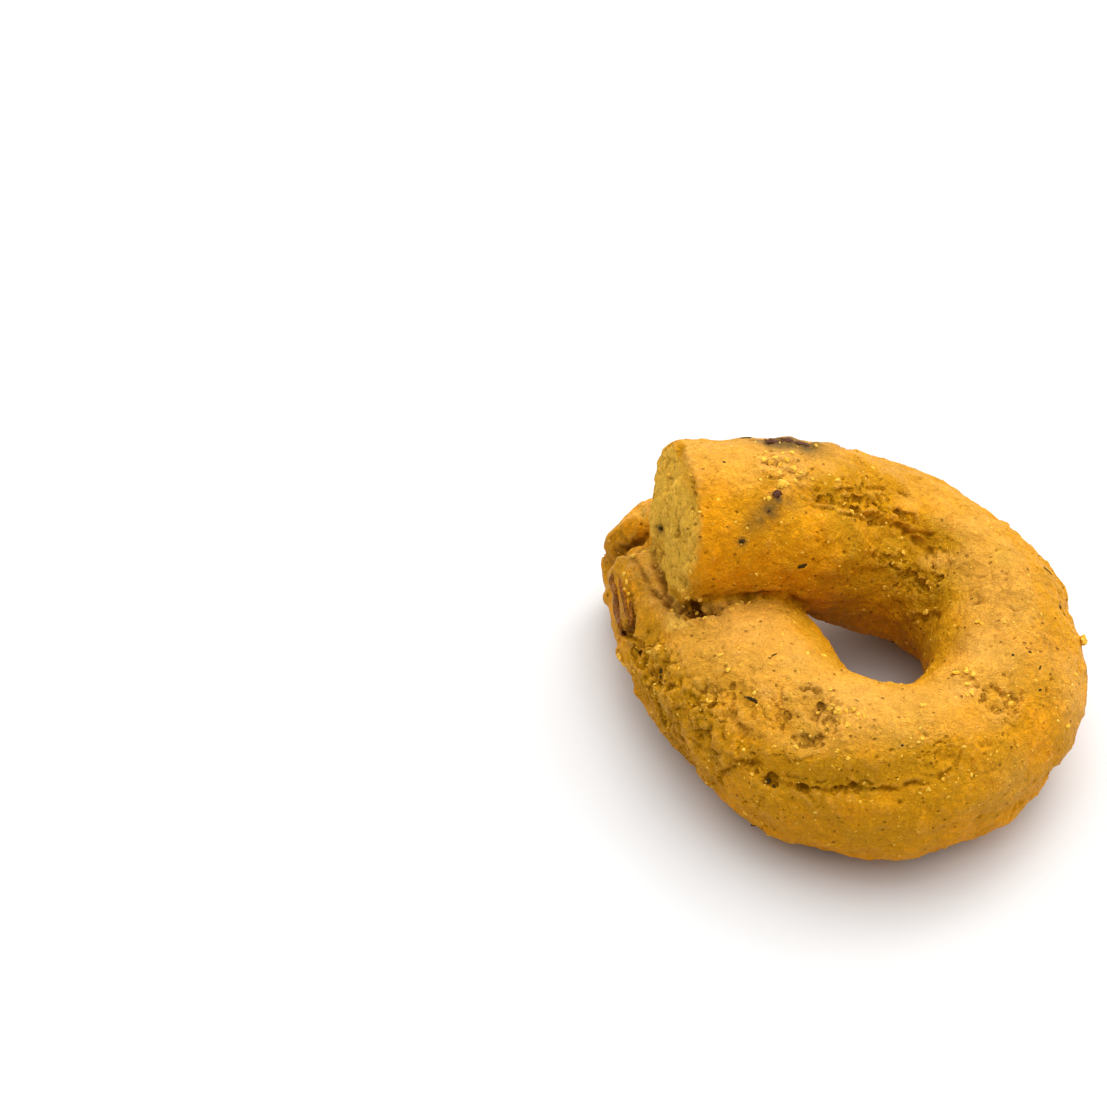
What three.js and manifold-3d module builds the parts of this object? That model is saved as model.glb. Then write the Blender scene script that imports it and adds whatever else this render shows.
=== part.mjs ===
// A tarallo: one thick rope of baked dough, bent into a ring so that its two ends cross.
//
// Units are millimetres, with +Z up. The ring lies flat, and the crossing is at its back left.
// The origin is on the table, under the middle of the tarallo's bounding box.
// The lower end points back and shows on the left. The upper end lies on it and is cut off square.
//
// A place on the skin is given as [distance, angle]: the distance along the rope from the
// tip of the lower end, and the angle round it in degrees, 0 out of the ring and 90 up.

import * as THREE from "three";
import { ImprovedNoise } from "three/addons/math/ImprovedNoise.js";
import { mergeVertices } from "three/addons/utils/BufferGeometryUtils.js";
import Module from "manifold-3d";

const wasm = await Module();
wasm.setup();

// ---------------------------------------------------------------- sizes

const ROPE = 14.4; // the rope's usual thickness
const REACH = 14; // from the middle of the hole to the middle of the rope
const BLUNT_END = 3.2; // length over which the lower end rounds off
const DOME = 1.9; // how far the upper end's cut face bulges
const FOOT_PRESS = 1.05; // how much further the lower half would reach without the table

// The route of the rope's middle, from the lower end to the upper one. Each stop has
// its bearing from the hole's middle (degrees, 0 to the right and 90 to the back),
// its distance as a share of REACH, its height and its half width and half height
// as shares of ROPE.
const STOPS = [
  { bearing: 134.5, reach: 1.66, height: 0.43, wide: 0.49, high: 0.43 },
  { bearing: 144, reach: 1.33, height: 0.41, wide: 0.55, high: 0.41 },
  { bearing: 167, reach: 1.00, height: 0.42, wide: 0.56, high: 0.42 },
  { bearing: 200, reach: 0.86, height: 0.46, wide: 0.565, high: 0.47 },
  { bearing: 240, reach: 0.94, height: 0.48, wide: 0.505, high: 0.50 },
  { bearing: 278, reach: 1.01, height: 0.49, wide: 0.465, high: 0.50 },
  { bearing: 315, reach: 0.89, height: 0.49, wide: 0.46, high: 0.50 },
  { bearing: 350, reach: 0.79, height: 0.49, wide: 0.46, high: 0.50 },
  { bearing: 386, reach: 0.76, height: 0.50, wide: 0.47, high: 0.50 },
  { bearing: 425, reach: 0.78, height: 0.54, wide: 0.50, high: 0.51 },
  { bearing: 462, reach: 0.76, height: 0.73, wide: 0.51, high: 0.52 },
  { bearing: 488, reach: 0.77, height: 0.95, wide: 0.50, high: 0.50 },
  { bearing: 519, reach: 1.28, height: 1.08, wide: 0.49, high: 0.49 },
];

const AROUND = 58; // facets round the rope
const FACET = 1.15; // length of a facet along the rope
const LOOK = 5; // the rope's heading is taken over this length to both sides

// Cracks and folds in the skin. Each runs along a line of places, is pressed in by
// depth, is as wide as width, and raises a lip of LIP times its depth along both sides.
const LIP = 0.25;
const CRACKS = [
  // the long crack along the front
  { depth: 0.45, width: 1.9, line: [[31, 24], [34.4, 32], [36.4, 36], [38.8, 42], [40.4, 50]] },
  { depth: 0.2, width: 1.8, line: [[41, 38], [43, 32]] },
  // the torn groove along the crest and its upper edge
  { depth: 0.45, width: 2.2, line: [[86, 118], [82, 130], [78, 130], [74, 127], [70, 126], [65, 114]] },
  { depth: 0.3, width: 1.8, line: [[82, 114], [78.8, 110], [75, 103]] },
  // the fold across the rope on the right
  { depth: 0.25, width: 2.0, line: [[61.5, 156], [58.8, 140], [57.6, 124], [56.4, 110], [55.4, 90]] },
  // the fold behind the lower end's flap, and the split that holds the tomato
  { depth: 1.5, width: 2.2, line: [[4.4, -4], [5, 26], [5.8, 54], [6.6, 80]] },
  { depth: 0.8, width: 2.0, line: [[7, 2], [10.4, 8], [14, 12]] },
  // folds and flake edges down the left side
  { depth: 0.4, width: 1.9, line: [[15.4, 34], [18.4, 24], [21, 28]] },
  { depth: 0.4, width: 1.9, line: [[19, -6], [21.6, 8], [24, 0], [25, -12]] },
  { depth: 0.4, width: 1.9, line: [[27.4, -16], [27.6, 4], [28, 18], [29.8, 28]] },
  // the low step along the bottom right
  { depth: 0.35, width: 2.0, line: [[40, -4], [44.8, -12], [48, -20]] },
  // tears round the back and on the inner side
  { depth: 0.6, width: 2.2, line: [[62, 14], [66, 4], [70.5, 8], [74, -6]] },
  { depth: 0.5, width: 2.0, line: [[77, 34], [80, 22], [85, 26]] },
  { depth: 0.4, width: 2.0, line: [[52, -12], [55, -2], [58.6, -8]] },
  { depth: 0.4, width: 2.0, line: [[30, 172], [34, 160], [38, 168]] },
];

// Round hollows in the skin, and lumps where the depth is below zero.
const HOLLOWS = [
  { place: [45.2, 72], radius: 3.0, depth: 0.5 }, // the torn patch on the right
  { place: [32, 79], radius: 1.8, depth: 0.5 }, // the pits on the left front
  { place: [32, 58], radius: 2.4, depth: 0.6 },
  { place: [26.8, 56], radius: 2.6, depth: 0.4 },
  { place: [77.5, 121], radius: 3.2, depth: 0.3 }, // the torn patch beside the crest
  { place: [9.6, 42], radius: 3.4, depth: -0.7 }, // the flap
  { place: [2.4, 40], radius: 3.4, depth: -0.5 }, // the lobe behind it
  { place: [52.5, 20], radius: 4.0, depth: -0.3 },
  { place: [36, 62], radius: 4.5, depth: -0.3 },
  { place: [68, 40], radius: 3.0, depth: 0.4 },
  { place: [24, -20], radius: 2.6, depth: 0.5 },
];

// The crack that parts the upper end's cut face, from one point of it to another. Both
// are shares of the face's half width, out of the ring, and of its half height, up.
const FACE_CRACK = { from: [-0.25, -0.97], to: [0.41, 0.91], width: 0.16, depth: 0.7 };

// Uneven lumps all over: the size of a lump and how far it rises or sinks.
const LUMPS = [
  { size: 6.5, rise: 0.36 },
  { size: 2.9, rise: 0.16 },
];

// ---------------------------------------------------------------- the rope's route

function stopPoint({ bearing, reach, height }) {
  const turn = THREE.MathUtils.degToRad(bearing);
  return new THREE.Vector3(
    Math.cos(turn) * reach * REACH,
    Math.sin(turn) * reach * REACH,
    height * ROPE,
  );
}

const route = new THREE.CatmullRomCurve3(STOPS.map(stopPoint), false, "centripetal");
const LENGTH = route.getLength();
// Its own curve carries the half width (x) and half height (y) past the same stops.
const girth = new THREE.CatmullRomCurve3(
  STOPS.map(({ wide, high }) => new THREE.Vector3(wide * ROPE, high * ROPE, 0)),
  false,
  "catmullrom",
);

// The section across the rope at a distance along it: its middle, the rope's heading,
// the level direction out of the ring, the direction up, and its half width and height.
// The heading is the mean over LOOK to both sides, so that sections don't meet inside
// a tight bend. Past either end the rope goes on straight.
function sectionAt(distance) {
  const share = THREE.MathUtils.clamp(distance / LENGTH, 0, 1);
  const look = LOOK / LENGTH;
  const behind = route.getPointAt(Math.max(share - look, 0));
  const ahead = route.getPointAt(Math.min(share + look, 1));
  const along = ahead.sub(behind).normalize();
  const stop = route.getUtoTmapping(share);
  const middle = route.getPoint(stop).addScaledVector(along, distance - share * LENGTH);
  const outward = new THREE.Vector3(along.y, -along.x, 0).normalize();
  const upward = new THREE.Vector3().crossVectors(outward, along);
  const size = girth.getPoint(stop);
  return { middle, along, outward, upward, halfWidth: size.x, halfHeight: size.y };
}

// ---------------------------------------------------------------- relief

// A step over the skin from one place to another in millimetres, the short way round.
function skinStep([fromDistance, fromAngle], [toDistance, toAngle]) {
  const turn = THREE.MathUtils.euclideanModulo(toAngle - fromAngle + 180, 360) - 180;
  return new THREE.Vector2(toDistance - fromDistance, THREE.MathUtils.degToRad(turn) * ROPE / 2);
}

// The distance over the skin from a place to a line of places.
function gapToLine(place, line) {
  let gap = Infinity;
  for (let i = 1; i < line.length; i++) {
    const run = skinStep(line[i - 1], line[i]);
    const offset = skinStep(line[i - 1], place);
    const share = THREE.MathUtils.clamp(offset.dot(run) / run.lengthSq(), 0, 1);
    gap = Math.min(gap, offset.addScaledVector(run, -share).length());
  }
  return gap;
}

function bell(value) {
  return Math.exp(-(value ** 2));
}

function crackRelief({ depth, width, line }, place) {
  const gap = gapToLine(place, line) / (width / 2);
  return depth * (LIP * bell((gap - 2) / 0.8) - bell(gap));
}

function hollowRelief({ depth, radius, place: middle }, place) {
  const gap = skinStep(middle, place).length() / radius;
  return -depth * bell(gap * 1.3);
}

// How far the skin rises at a place from its cracks and hollows.
function skinRelief(place) {
  const cracks = CRACKS.map((crack) => crackRelief(crack, place));
  const hollows = HOLLOWS.map((hollow) => hollowRelief(hollow, place));
  return [...cracks, ...hollows].reduce((sum, rise) => sum + rise, 0);
}

const noise = new ImprovedNoise();

// How far the dough rises at a point of space from its uneven lumps.
function lumpRelief({ x, y, z }) {
  return LUMPS.reduce((sum, { size, rise }) => {
    return sum + rise * noise.noise(x / size + 7.3, y / size + 2.9, z / size + 5.1);
  }, 0);
}

// How far the upper end's cut face sinks at a share of its half width and half height.
function faceRelief(across, up) {
  const { from, to, width, depth } = FACE_CRACK;
  const run = new THREE.Vector2(to[0] - from[0], to[1] - from[1]).normalize();
  const gap = Math.abs(run.cross(new THREE.Vector2(across - from[0], up - from[1])));
  return -depth * bell(gap / width);
}

// ---------------------------------------------------------------- the rope's skin

// A point of the rope: distance along it, angle round it in radians, and depth from
// the middle (0) to the skin (1).
function ropePoint(distance, angle, depth) {
  const { middle, along, outward, upward, halfWidth, halfHeight } = sectionAt(distance);
  const across = Math.cos(angle) * depth;
  const up = Math.sin(angle) * depth;
  const press = up < 0 ? FOOT_PRESS : 1;
  const offset = new THREE.Vector3()
    .addScaledVector(outward, across * halfWidth)
    .addScaledVector(upward, up * halfHeight * press);
  const point = middle.clone().add(offset);
  const place = [distance, THREE.MathUtils.radToDeg(angle)];
  const rise = (skinRelief(place) + lumpRelief(point)) * depth;
  point.addScaledVector(offset.normalize(), rise);
  if (distance > LENGTH) {
    point.addScaledVector(along, faceRelief(across, up) + lumpRelief(point));
  }
  point.z = Math.max(point.z, 0);
  return point;
}

// ---------------------------------------------------------------- the rope's solid

function solidOf(geometry) {
  geometry.deleteAttribute("normal");
  geometry.deleteAttribute("uv");
  const merged = mergeVertices(geometry, 1e-4);
  return new wasm.Manifold(
    new wasm.Mesh({
      numProp: 3,
      vertProperties: merged.getAttribute("position").array,
      triVerts: new Uint32Array(merged.index.array),
    }),
  );
}

function geometryOf(solid) {
  const { vertProperties, triVerts } = solid.getMesh();
  const geometry = new THREE.BufferGeometry();
  geometry.setAttribute("position", new THREE.BufferAttribute(vertProperties, 3));
  geometry.setIndex(new THREE.BufferAttribute(triVerts, 1));
  geometry.computeVertexNormals();
  return geometry;
}

// A stretch of the rope as a closed solid: a lathed profile, with its radius as the
// depth and its height as the distance along, whose points are moved onto the rope.
function ropeStretch(profile) {
  const geometry = new THREE.LatheGeometry(profile, AROUND);
  const position = geometry.getAttribute("position");
  for (let i = 0; i < position.count; i++) {
    const x = position.getX(i);
    const z = position.getZ(i);
    const point = ropePoint(position.getY(i), Math.atan2(z, x), Math.hypot(x, z));
    position.setXYZ(i, point.x, point.y, point.z);
  }
  return solidOf(geometry);
}

// Profile points along the rope's skin between two distances.
function straightProfile(from, to) {
  const steps = Math.round((to - from) / FACET);
  return Array.from({ length: steps + 1 }, (_, step) => {
    return new THREE.Vector2(1, THREE.MathUtils.lerp(from, to, step / steps));
  });
}

// The blunt round of the lower end, from its tip to the full skin.
function bluntProfile(steps = 6) {
  return Array.from({ length: steps }, (_, step) => {
    const turn = (step / steps) * Math.PI / 2;
    return new THREE.Vector2(Math.sin(turn) ** 0.8, BLUNT_END * (1 - Math.cos(turn)));
  });
}

// The bulging cut face of the upper end, from its rim to its middle.
function domeProfile(steps = 8) {
  return Array.from({ length: steps }, (_, step) => {
    const radius = 1 - (step + 1) / steps;
    return new THREE.Vector2(radius, LENGTH + DOME * (1 - radius ** 2.4));
  });
}

// ---------------------------------------------------------------- bits in the dough

// Bits that show in the skin: dried tomato, olive and the largest crumbs. Each is a
// rounded lump at a place, with its half length, half width and half thickness, and
// turned on the skin by turn degrees from the rope's heading.
const BITS = [
  { name: "tomato strip", place: [10.2, 6], half: [3.3, 1.1, 0.6], turn: 4 },
  { name: "tomato shred", place: [12.6, 19], half: [1.8, 0.5, 0.5], turn: 8 },
  { name: "olive on the crest", place: [85.2, 62], half: [1.3, 0.6, 0.3], turn: 10 },
  { name: "olive on the crest", place: [82.6, 72], half: [1.4, 0.6, 0.3], turn: -8 },
  { name: "olive beside the crest", place: [87.2, 120], half: [0.8, 0.6, 0.4], turn: 30 },
  { name: "crumb on the right", place: [55.6, 22], half: [0.6, 0.5, 0.5], turn: 0 },
  { name: "crumb on the left", place: [14, -8], half: [0.8, 0.6, 0.4], turn: 40 },
  { name: "crumb on the left", place: [17.6, -12], half: [0.7, 0.5, 0.4], turn: -20 },
  { name: "crumb on the crest", place: [86.2, 88], half: [0.7, 0.5, 0.3], turn: 10 },
  { name: "crumb on the crest", place: [84.6, 98], half: [0.8, 0.5, 0.3], turn: 70 },
  { name: "crumb on the crest", place: [87.6, 101], half: [0.6, 0.5, 0.3], turn: -30 },
  { name: "crumb beside the hole", place: [46.4, 104], half: [1.0, 0.5, 0.3], turn: 20 },
];

function bitSolid({ place, half, turn }) {
  const [distance, degrees] = place;
  const angle = THREE.MathUtils.degToRad(degrees);
  const { middle, along } = sectionAt(distance);
  const skin = ropePoint(distance, angle, 1);
  const normal = skin.clone().sub(middle).normalize();
  const across = new THREE.Vector3().crossVectors(normal, along).normalize();
  const length = new THREE.Vector3().crossVectors(across, normal);
  const geometry = new THREE.IcosahedronGeometry(1, 1);
  geometry.rotateZ(THREE.MathUtils.degToRad(turn));
  const [halfLength, halfWidth, halfThickness] = half;
  const placed = new THREE.Matrix4().makeBasis(
    length.multiplyScalar(halfLength),
    across.multiplyScalar(halfWidth),
    normal.multiplyScalar(halfThickness),
  );
  geometry.applyMatrix4(placed.setPosition(skin));
  return solidOf(geometry);
}

// ---------------------------------------------------------------- the tarallo

const HALFWAY = LENGTH * 0.5; // the two stretches meet here, on the far side from the crossing

const dough = new THREE.MeshStandardMaterial({
  name: "baked_dough",
  color: 0xdca03c,
  roughness: 0.75,
  metalness: 0,
});

function tarallo() {
  const lower = ropeStretch([
    ...bluntProfile(),
    ...straightProfile(BLUNT_END, HALFWAY),
    new THREE.Vector2(0, HALFWAY),
  ]);
  const upper = ropeStretch([
    new THREE.Vector2(0, HALFWAY),
    ...straightProfile(HALFWAY, LENGTH),
    ...domeProfile(),
  ]);
  const solid = BITS.map(bitSolid).reduce((whole, bit) => whole.add(bit), lower.add(upper));
  const mesh = new THREE.Mesh(geometryOf(solid), dough);
  mesh.name = "tarallo";
  const middle = new THREE.Box3().setFromObject(mesh).getCenter(new THREE.Vector3());
  mesh.position.set(-middle.x, -middle.y, 0);
  return mesh;
}

const part = new THREE.Group();
part.add(tarallo());
export default part;
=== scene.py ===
"""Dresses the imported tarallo: its baked skin with cracks, tears and pinholes, and the grains,
crumbs, herb flakes, olive and dried tomato in it, on a plain pale table under soft light.

Sizes that describe the object are in millimetres, and meshes are written in metres.
"""

import math
from itertools import islice

import bmesh
import bpy
import numpy as np
from bpy.props import FloatProperty, FloatVectorProperty, IntProperty, PointerProperty
from mathutils import Matrix, Vector, noise
from mathutils.bvhtree import BVHTree
from mathutils.kdtree import KDTree


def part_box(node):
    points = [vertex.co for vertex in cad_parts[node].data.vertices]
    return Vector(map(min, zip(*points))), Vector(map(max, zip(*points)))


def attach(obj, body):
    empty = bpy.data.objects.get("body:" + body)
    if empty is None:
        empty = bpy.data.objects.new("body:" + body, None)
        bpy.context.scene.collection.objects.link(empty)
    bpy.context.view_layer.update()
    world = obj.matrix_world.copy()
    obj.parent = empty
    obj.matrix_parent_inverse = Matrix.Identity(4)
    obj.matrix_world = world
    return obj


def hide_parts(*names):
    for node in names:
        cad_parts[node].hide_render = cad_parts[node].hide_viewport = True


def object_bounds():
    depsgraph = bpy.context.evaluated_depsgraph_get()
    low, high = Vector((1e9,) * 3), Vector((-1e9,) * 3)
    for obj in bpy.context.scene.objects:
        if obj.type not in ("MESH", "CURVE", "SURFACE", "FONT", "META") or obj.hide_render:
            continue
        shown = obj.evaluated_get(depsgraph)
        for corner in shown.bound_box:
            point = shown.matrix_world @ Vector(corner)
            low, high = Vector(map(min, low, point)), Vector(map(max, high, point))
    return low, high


bl_info = {
    "name": "Tarallo",
    "version": (1, 0, 0),
    "blender": (4, 5, 0),
    "location": "3D View > Sidebar > Tarallo",
    "description": "Dresses the packed tarallo and sets it on a pale table",
    "category": "Object",
}

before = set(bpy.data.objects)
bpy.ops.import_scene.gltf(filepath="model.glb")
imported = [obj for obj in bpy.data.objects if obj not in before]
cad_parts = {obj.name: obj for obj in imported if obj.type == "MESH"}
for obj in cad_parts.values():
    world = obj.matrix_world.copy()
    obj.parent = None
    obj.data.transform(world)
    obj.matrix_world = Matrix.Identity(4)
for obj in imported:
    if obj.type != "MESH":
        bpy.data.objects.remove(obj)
CAD_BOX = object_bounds()

MM = 0.001
NODE = "tarallo"
BODY = "root"

# ---------------------------------------------------------------- the photograph's camera

PHOTO_SIDE = 1107.0  # the photograph's width and height in pixels
SENSOR = 36.0
VIEW_DOWN = math.radians(44.0)  # how far the camera looks down
VIEW_DISTANCE = 260.0  # from the camera to the hole's middle, along the view
PIXELS_PER_MM = 11.5  # the photograph's scale at that distance
HOLE_PIXEL = (868.0, 705.0)  # where the hole's middle on the table is in the photograph
HOLE_SHARE = (0.569, 0.540)  # the same point as a share of the solid's box

box_low, box_high = (np.array(corner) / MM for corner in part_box(NODE))
HOLE_MIDDLE = np.array([
    *(box_low[:2] + (box_high - box_low)[:2] * HOLE_SHARE),
    0.0,
])
FOCAL = PIXELS_PER_MM * VIEW_DISTANCE  # in pixels
LENS = FOCAL * SENSOR / PHOTO_SIDE
VIEW_RIGHT = np.array([1.0, 0.0, 0.0])
VIEW_AHEAD = np.array([0.0, math.cos(VIEW_DOWN), -math.sin(VIEW_DOWN)])
VIEW_UP = np.array([0.0, math.sin(VIEW_DOWN), math.cos(VIEW_DOWN)])


def pixel_direction(pixel):
    """The direction from the camera through a pixel of the photograph, one long ahead."""
    right = (pixel[0] - PHOTO_SIDE / 2) / FOCAL
    down = (pixel[1] - PHOTO_SIDE / 2) / FOCAL
    return VIEW_AHEAD + right * VIEW_RIGHT - down * VIEW_UP


CAMERA_PLACE = HOLE_MIDDLE - pixel_direction(HOLE_PIXEL) * VIEW_DISTANCE

# ---------------------------------------------------------------- what the photograph shows

# The middle of the upper end's cut rim, and the rope's heading there.
CUT_MIDDLE = np.array([-13.9, 8.0, 15.55])
CUT_HEADING = np.array([-0.963, -0.198, 0.179])
CUT_RADIUS = 8.2
RIM_SHIFT = -0.45  # how much further out than that the cut face's greener dough starts
PAINTED_HIGHLIGHT_HEADING = np.array([-0.12, 0.1, 0.988])  # the way that the skin with the most painted highlight faces
FLAP_TOP = 11.2  # the height over the table of the lower end's flap, where the cut face stops

# Lines and places below are pixels of the photograph, and other sizes are millimetres.

# Cracks: width, depth and line, and for the darker ones how dark their painted shade is and how far that
# goes.
CRACKS = (
    # the long crack along the front
    (0.34, 0.34, ((853, 788), (866, 790), (876, 789), (893, 790), (909, 784), (926, 781), (939, 777),
        (955, 767))),
    (0.34, 0.2, ((755, 772), (775, 780), (792, 786), (806, 790), (820, 789), (853, 788))),
    (0.25, 0.12, ((955, 767), (960, 752), (963, 740))),
    (0.25, 0.15, ((972, 778), (985, 774), (999, 770))),
    # the torn groove beside the crest, and the lip above it
    (0.55, 0.4, ((797, 489), (806, 498), (822, 502), (836, 506), (849, 508), (862, 513), (875, 518),
        (890, 523), (905, 530), (916, 541), (925, 549), (933, 558))),
    (0.35, 0.22, ((820, 498), (835, 492), (847, 490), (862, 491), (880, 489), (906, 494))),
    # small torn folds on the back right
    (0.3, 0.2, ((898, 535), (908, 532), (921, 534), (942, 535))),
    (0.3, 0.2, ((925, 548), (936, 549), (948, 553))),
    (0.25, 0.18, ((950, 564), (959, 561), (970, 559), (977, 557))),
    (0.25, 0.15, ((977, 578), (985, 578))),
    (0.3, 0.2, ((944, 593), (955, 594), (963, 591))),
    (0.3, 0.2, ((967, 606), (976, 604), (985, 602))),
    (0.3, 0.2, ((1000, 600), (1006, 606), (1014, 610), (1024, 609))),
    (0.4, 0.25, ((905, 619), (913, 617), (924, 616), (936, 615), (949, 609))),
    (0.25, 0.2, ((885, 592), (893, 589), (899, 581))),
    # the crevice where the upper end lies on the lower one
    (1.0, 0.5, ((672, 607), (680, 609), (692, 610), (703, 612), (713, 609), (724, 606),
        (732, 602)), 1.3, 0.85),
    (0.45, 0.25, ((653, 553), (656, 565), (660, 574), (663, 584), (666, 594), (674, 603),
        (684, 607)), 0.9, 0.3),
    (0.6, 0.4, ((720, 607), (732, 602), (739, 599), (751, 596), (762, 592), (772, 595), (789, 594),
        (804, 604)), 0.9, 0.4),
    # down the left side
    (0.3, 0.2, ((688, 737), (695, 745), (702, 748))),
    (0.3, 0.2, ((706, 750), (714, 752), (722, 755))),
    (0.4, 0.3, ((729, 754), (738, 760), (747, 762), (755, 763))),
    (0.35, 0.2, ((755, 763), (757, 774), (770, 783), (786, 789))),
    (0.4, 0.3, ((669, 675), (668, 698), (673, 715), (676, 737), (680, 741))),
    (0.35, 0.25, ((733, 698), (733, 706), (731, 716))),
    (0.3, 0.2, ((700, 692), (709, 688), (714, 697), (709, 712))),
    (0.35, 0.22, ((655, 655), (652, 668), (655, 682))),
    (0.3, 0.2, ((800, 787), (807, 793), (816, 800))),
    (0.3, 0.18, ((800, 686), (810, 690), (819, 688))),
    (0.3, 0.2, ((795, 738), (806, 735), (818, 734), (826, 738))),
    # behind the lower end's flap, and the split that holds the tomato
    (0.8, 0.6, ((617, 553), (626, 551), (636, 546), (647, 540)), 1.1, 0.5),
    (0.5, 0.3, ((617, 557), (626, 556), (636, 552), (648, 546)), 0.9, 0.4),
    (0.6, 0.5, ((629, 592), (631, 606), (632, 617), (630, 634)), 1.1, 0.5),
    (0.3, 0.25, ((612, 572), (613, 584), (615, 600), (619, 618)), 0.8, 0.25),
    (0.3, 0.15, ((634, 560), (642, 570), (648, 582), (650, 592)), 0.6, 0.2),
    (0.5, 0.35, ((651, 590), (660, 598), (668, 604), (676, 611)), 1.0, 0.4),
    # over the cut face
    (0.3, 0.22, ((655, 550), (663, 543), (676, 536), (680, 525), (682, 510), (694, 495))),
    (0.2, 0.1, ((680, 525), (674, 514), (676, 502))),
    (0.2, 0.1, ((668, 476), (676, 484), (674, 496))),
    (0.2, 0.1, ((662, 570), (672, 566), (684, 572))),
)

# Places where the skin is torn off and the crumb shows: radius, depth and the line they follow.
TEARS = (
    (0.8, 0.16, ((822, 499), (845, 500), (870, 503), (895, 512), (912, 521))),
    (1.0, 0.1, ((890, 562), (905, 577), (925, 585), (940, 577))),
    (1.1, 0.14, ((987, 696), (1000, 699), (1014, 699))),
    (0.7, 0.24, ((797, 743), (808, 742), (819, 739))),
    (0.5, 0.24, ((822, 705), (827, 711))),
    (0.7, 0.12, ((826, 721), (838, 724))),
    (0.55, 0.15, ((776, 712), (784, 714))),
    (0.5, 0.12, ((801, 687), (816, 689))),
    (0.6, 0.4, ((690, 612), (705, 612), (719, 611))),
    (0.8, 0.08, ((957, 673), (974, 682))),
    (1.3, 0.0, ((763, 460), (783, 464), (801, 476))),
    (1.4, 0.14, ((634, 655), (646, 672), (652, 696), (662, 720))),
    (1.4, 0.08, ((694, 694), (708, 704), (724, 704))),
    (0.7, 0.1, ((742, 752), (757, 768), (772, 782))),
    (0.7, 0.08, ((800, 788), (835, 787), (872, 784))),
)

# Edges of flakes: height, reach and line. The skin on the line's left hand is raised.
LEDGES = (
    (0.4, 1.6, ((650, 551), (636, 556), (622, 558), (612, 568))),
    (0.4, 1.8, ((664, 642), (645, 650), (629, 637), (634, 616), (638, 601))),
    (0.22, 1.4, ((727, 792), (720, 783), (720, 770), (736, 764), (753, 760))),
    (0.1, 1.2, ((1054, 780), (1040, 791), (1026, 801), (1013, 811), (984, 819))),
    (0.22, 1.3, ((682, 740), (675, 716), (671, 698), (671, 678))),
    (0.2, 1.2, ((912, 497), (890, 490), (860, 489), (835, 491), (815, 496))),
    (0.24, 1.4, ((796, 492), (815, 505), (845, 513), (880, 522), (905, 534))),
    (0.12, 1.0, ((1028, 716), (1015, 712), (998, 713), (981, 704), (978, 690))),
    (0.18, 1.0, ((900, 622), (916, 619), (936, 617), (950, 610))),
    (0.12, 1.0, ((786, 755), (800, 759), (815, 756), (830, 748))),
    (0.14, 1.0, ((704, 731), (712, 740), (716, 750), (729, 753))),
    (0.12, 1.0, ((741, 700), (736, 712), (738, 724), (752, 730))),
    (0.1, 1.0, ((880, 790), (905, 787), (930, 782), (952, 772))),
)

# Deep pinholes that the photograph shows.
PINHOLES = (
    (697, 640), (647, 631), (656, 640), (739, 649), (692, 724), (843, 673), (754, 817), (1005, 709),
    (1020, 716), (983, 696), (1046, 689), (1004, 733), (1046, 735), (669, 462), (772, 450), (802, 452),
    (845, 478), (865, 485), (881, 480), (1006, 575), (1030, 650), (1052, 680), (958, 628), (968, 575),
    (924, 577), (826, 541), (843, 553), (853, 570), (872, 584), (712, 588), (693, 525), (707, 508),
    (680, 470), (724, 665), (731, 684), (761, 667), (833, 733), (900, 803), (938, 812), (877, 757),
)

# Soft areas of another colour, depth or form: the middle, how far it reaches, and how strong it is.
AMBER_SPOTS = (
    ((730, 575), 3.2, 0.9), ((760, 560), 3.4, 0.8), ((705, 480), 2.6, 0.7), ((715, 540), 3.0, 0.9),
    ((800, 545), 3.0, 0.6), ((640, 530), 2.4, 0.9), ((613, 600), 2.0, 0.8), ((1040, 735), 2.6, 0.6),
    ((780, 712), 0.8, 0.8), ((726, 704), 0.9, 0.9), ((653, 698), 0.6, 0.9), ((870, 808), 2.6, 0.5),
    ((905, 520), 1.4, 0.5), ((1060, 650), 2.0, 0.4), ((860, 455), 2.4, 0.5), ((745, 735), 2.2, 0.5),
    ((1000, 585), 1.3, 0.5), ((626, 640), 0.9, 0.7), ((626, 590), 2.2, 0.8), ((770, 520), 2.6, 0.6),
    ((1035, 640), 1.6, 0.6), ((965, 730), 2.4, 0.5), ((700, 510), 1.6, 0.8), ((700, 570), 1.8, 0.8),
)
KHAKI_SPOTS = (
    ((935, 600), 3.4, 0.7), ((915, 575), 2.6, 0.6), ((1003, 558), 1.0, 0.8), ((940, 640), 2.4, 0.5),
    ((640, 575), 1.4, 0.3), ((900, 560), 2.0, 0.5), ((660, 655), 1.8, 0.3), ((690, 620), 2.0, 0.3),
    ((835, 500), 2.0, 0.4), ((735, 600), 1.2, 0.3), ((805, 742), 1.3, 0.6), ((985, 655), 1.2, 0.4),
    ((660, 700), 2.2, 0.3), ((1000, 652), 1.2, 0.5), ((905, 735), 2.2, 0.6), ((860, 787), 1.4, 0.5),
    ((945, 545), 2.0, 0.5), ((640, 740), 2.0, 0.3), ((855, 548), 1.2, 0.5), ((895, 590), 1.0, 0.7),
)
SMEAR_SPOTS = (
    ((748, 437), 1.0, 1.0), ((762, 440), 1.2, 0.8), ((777, 441), 1.7, 1.0), ((790, 442), 1.7, 1.0),
    ((806, 445), 1.6, 1.0), ((822, 447), 1.4, 0.35), ((841, 447), 1.2, 0.4), ((778, 498), 0.7, 1.0),
    ((770, 510), 1.0, 0.9), ((761, 518), 1.0, 0.7), ((751, 526), 0.8, 0.5), ((661, 528), 0.6, 0.8),
    ((742, 541), 0.5, 0.8), ((788, 503), 0.7, 0.5),
)
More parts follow.
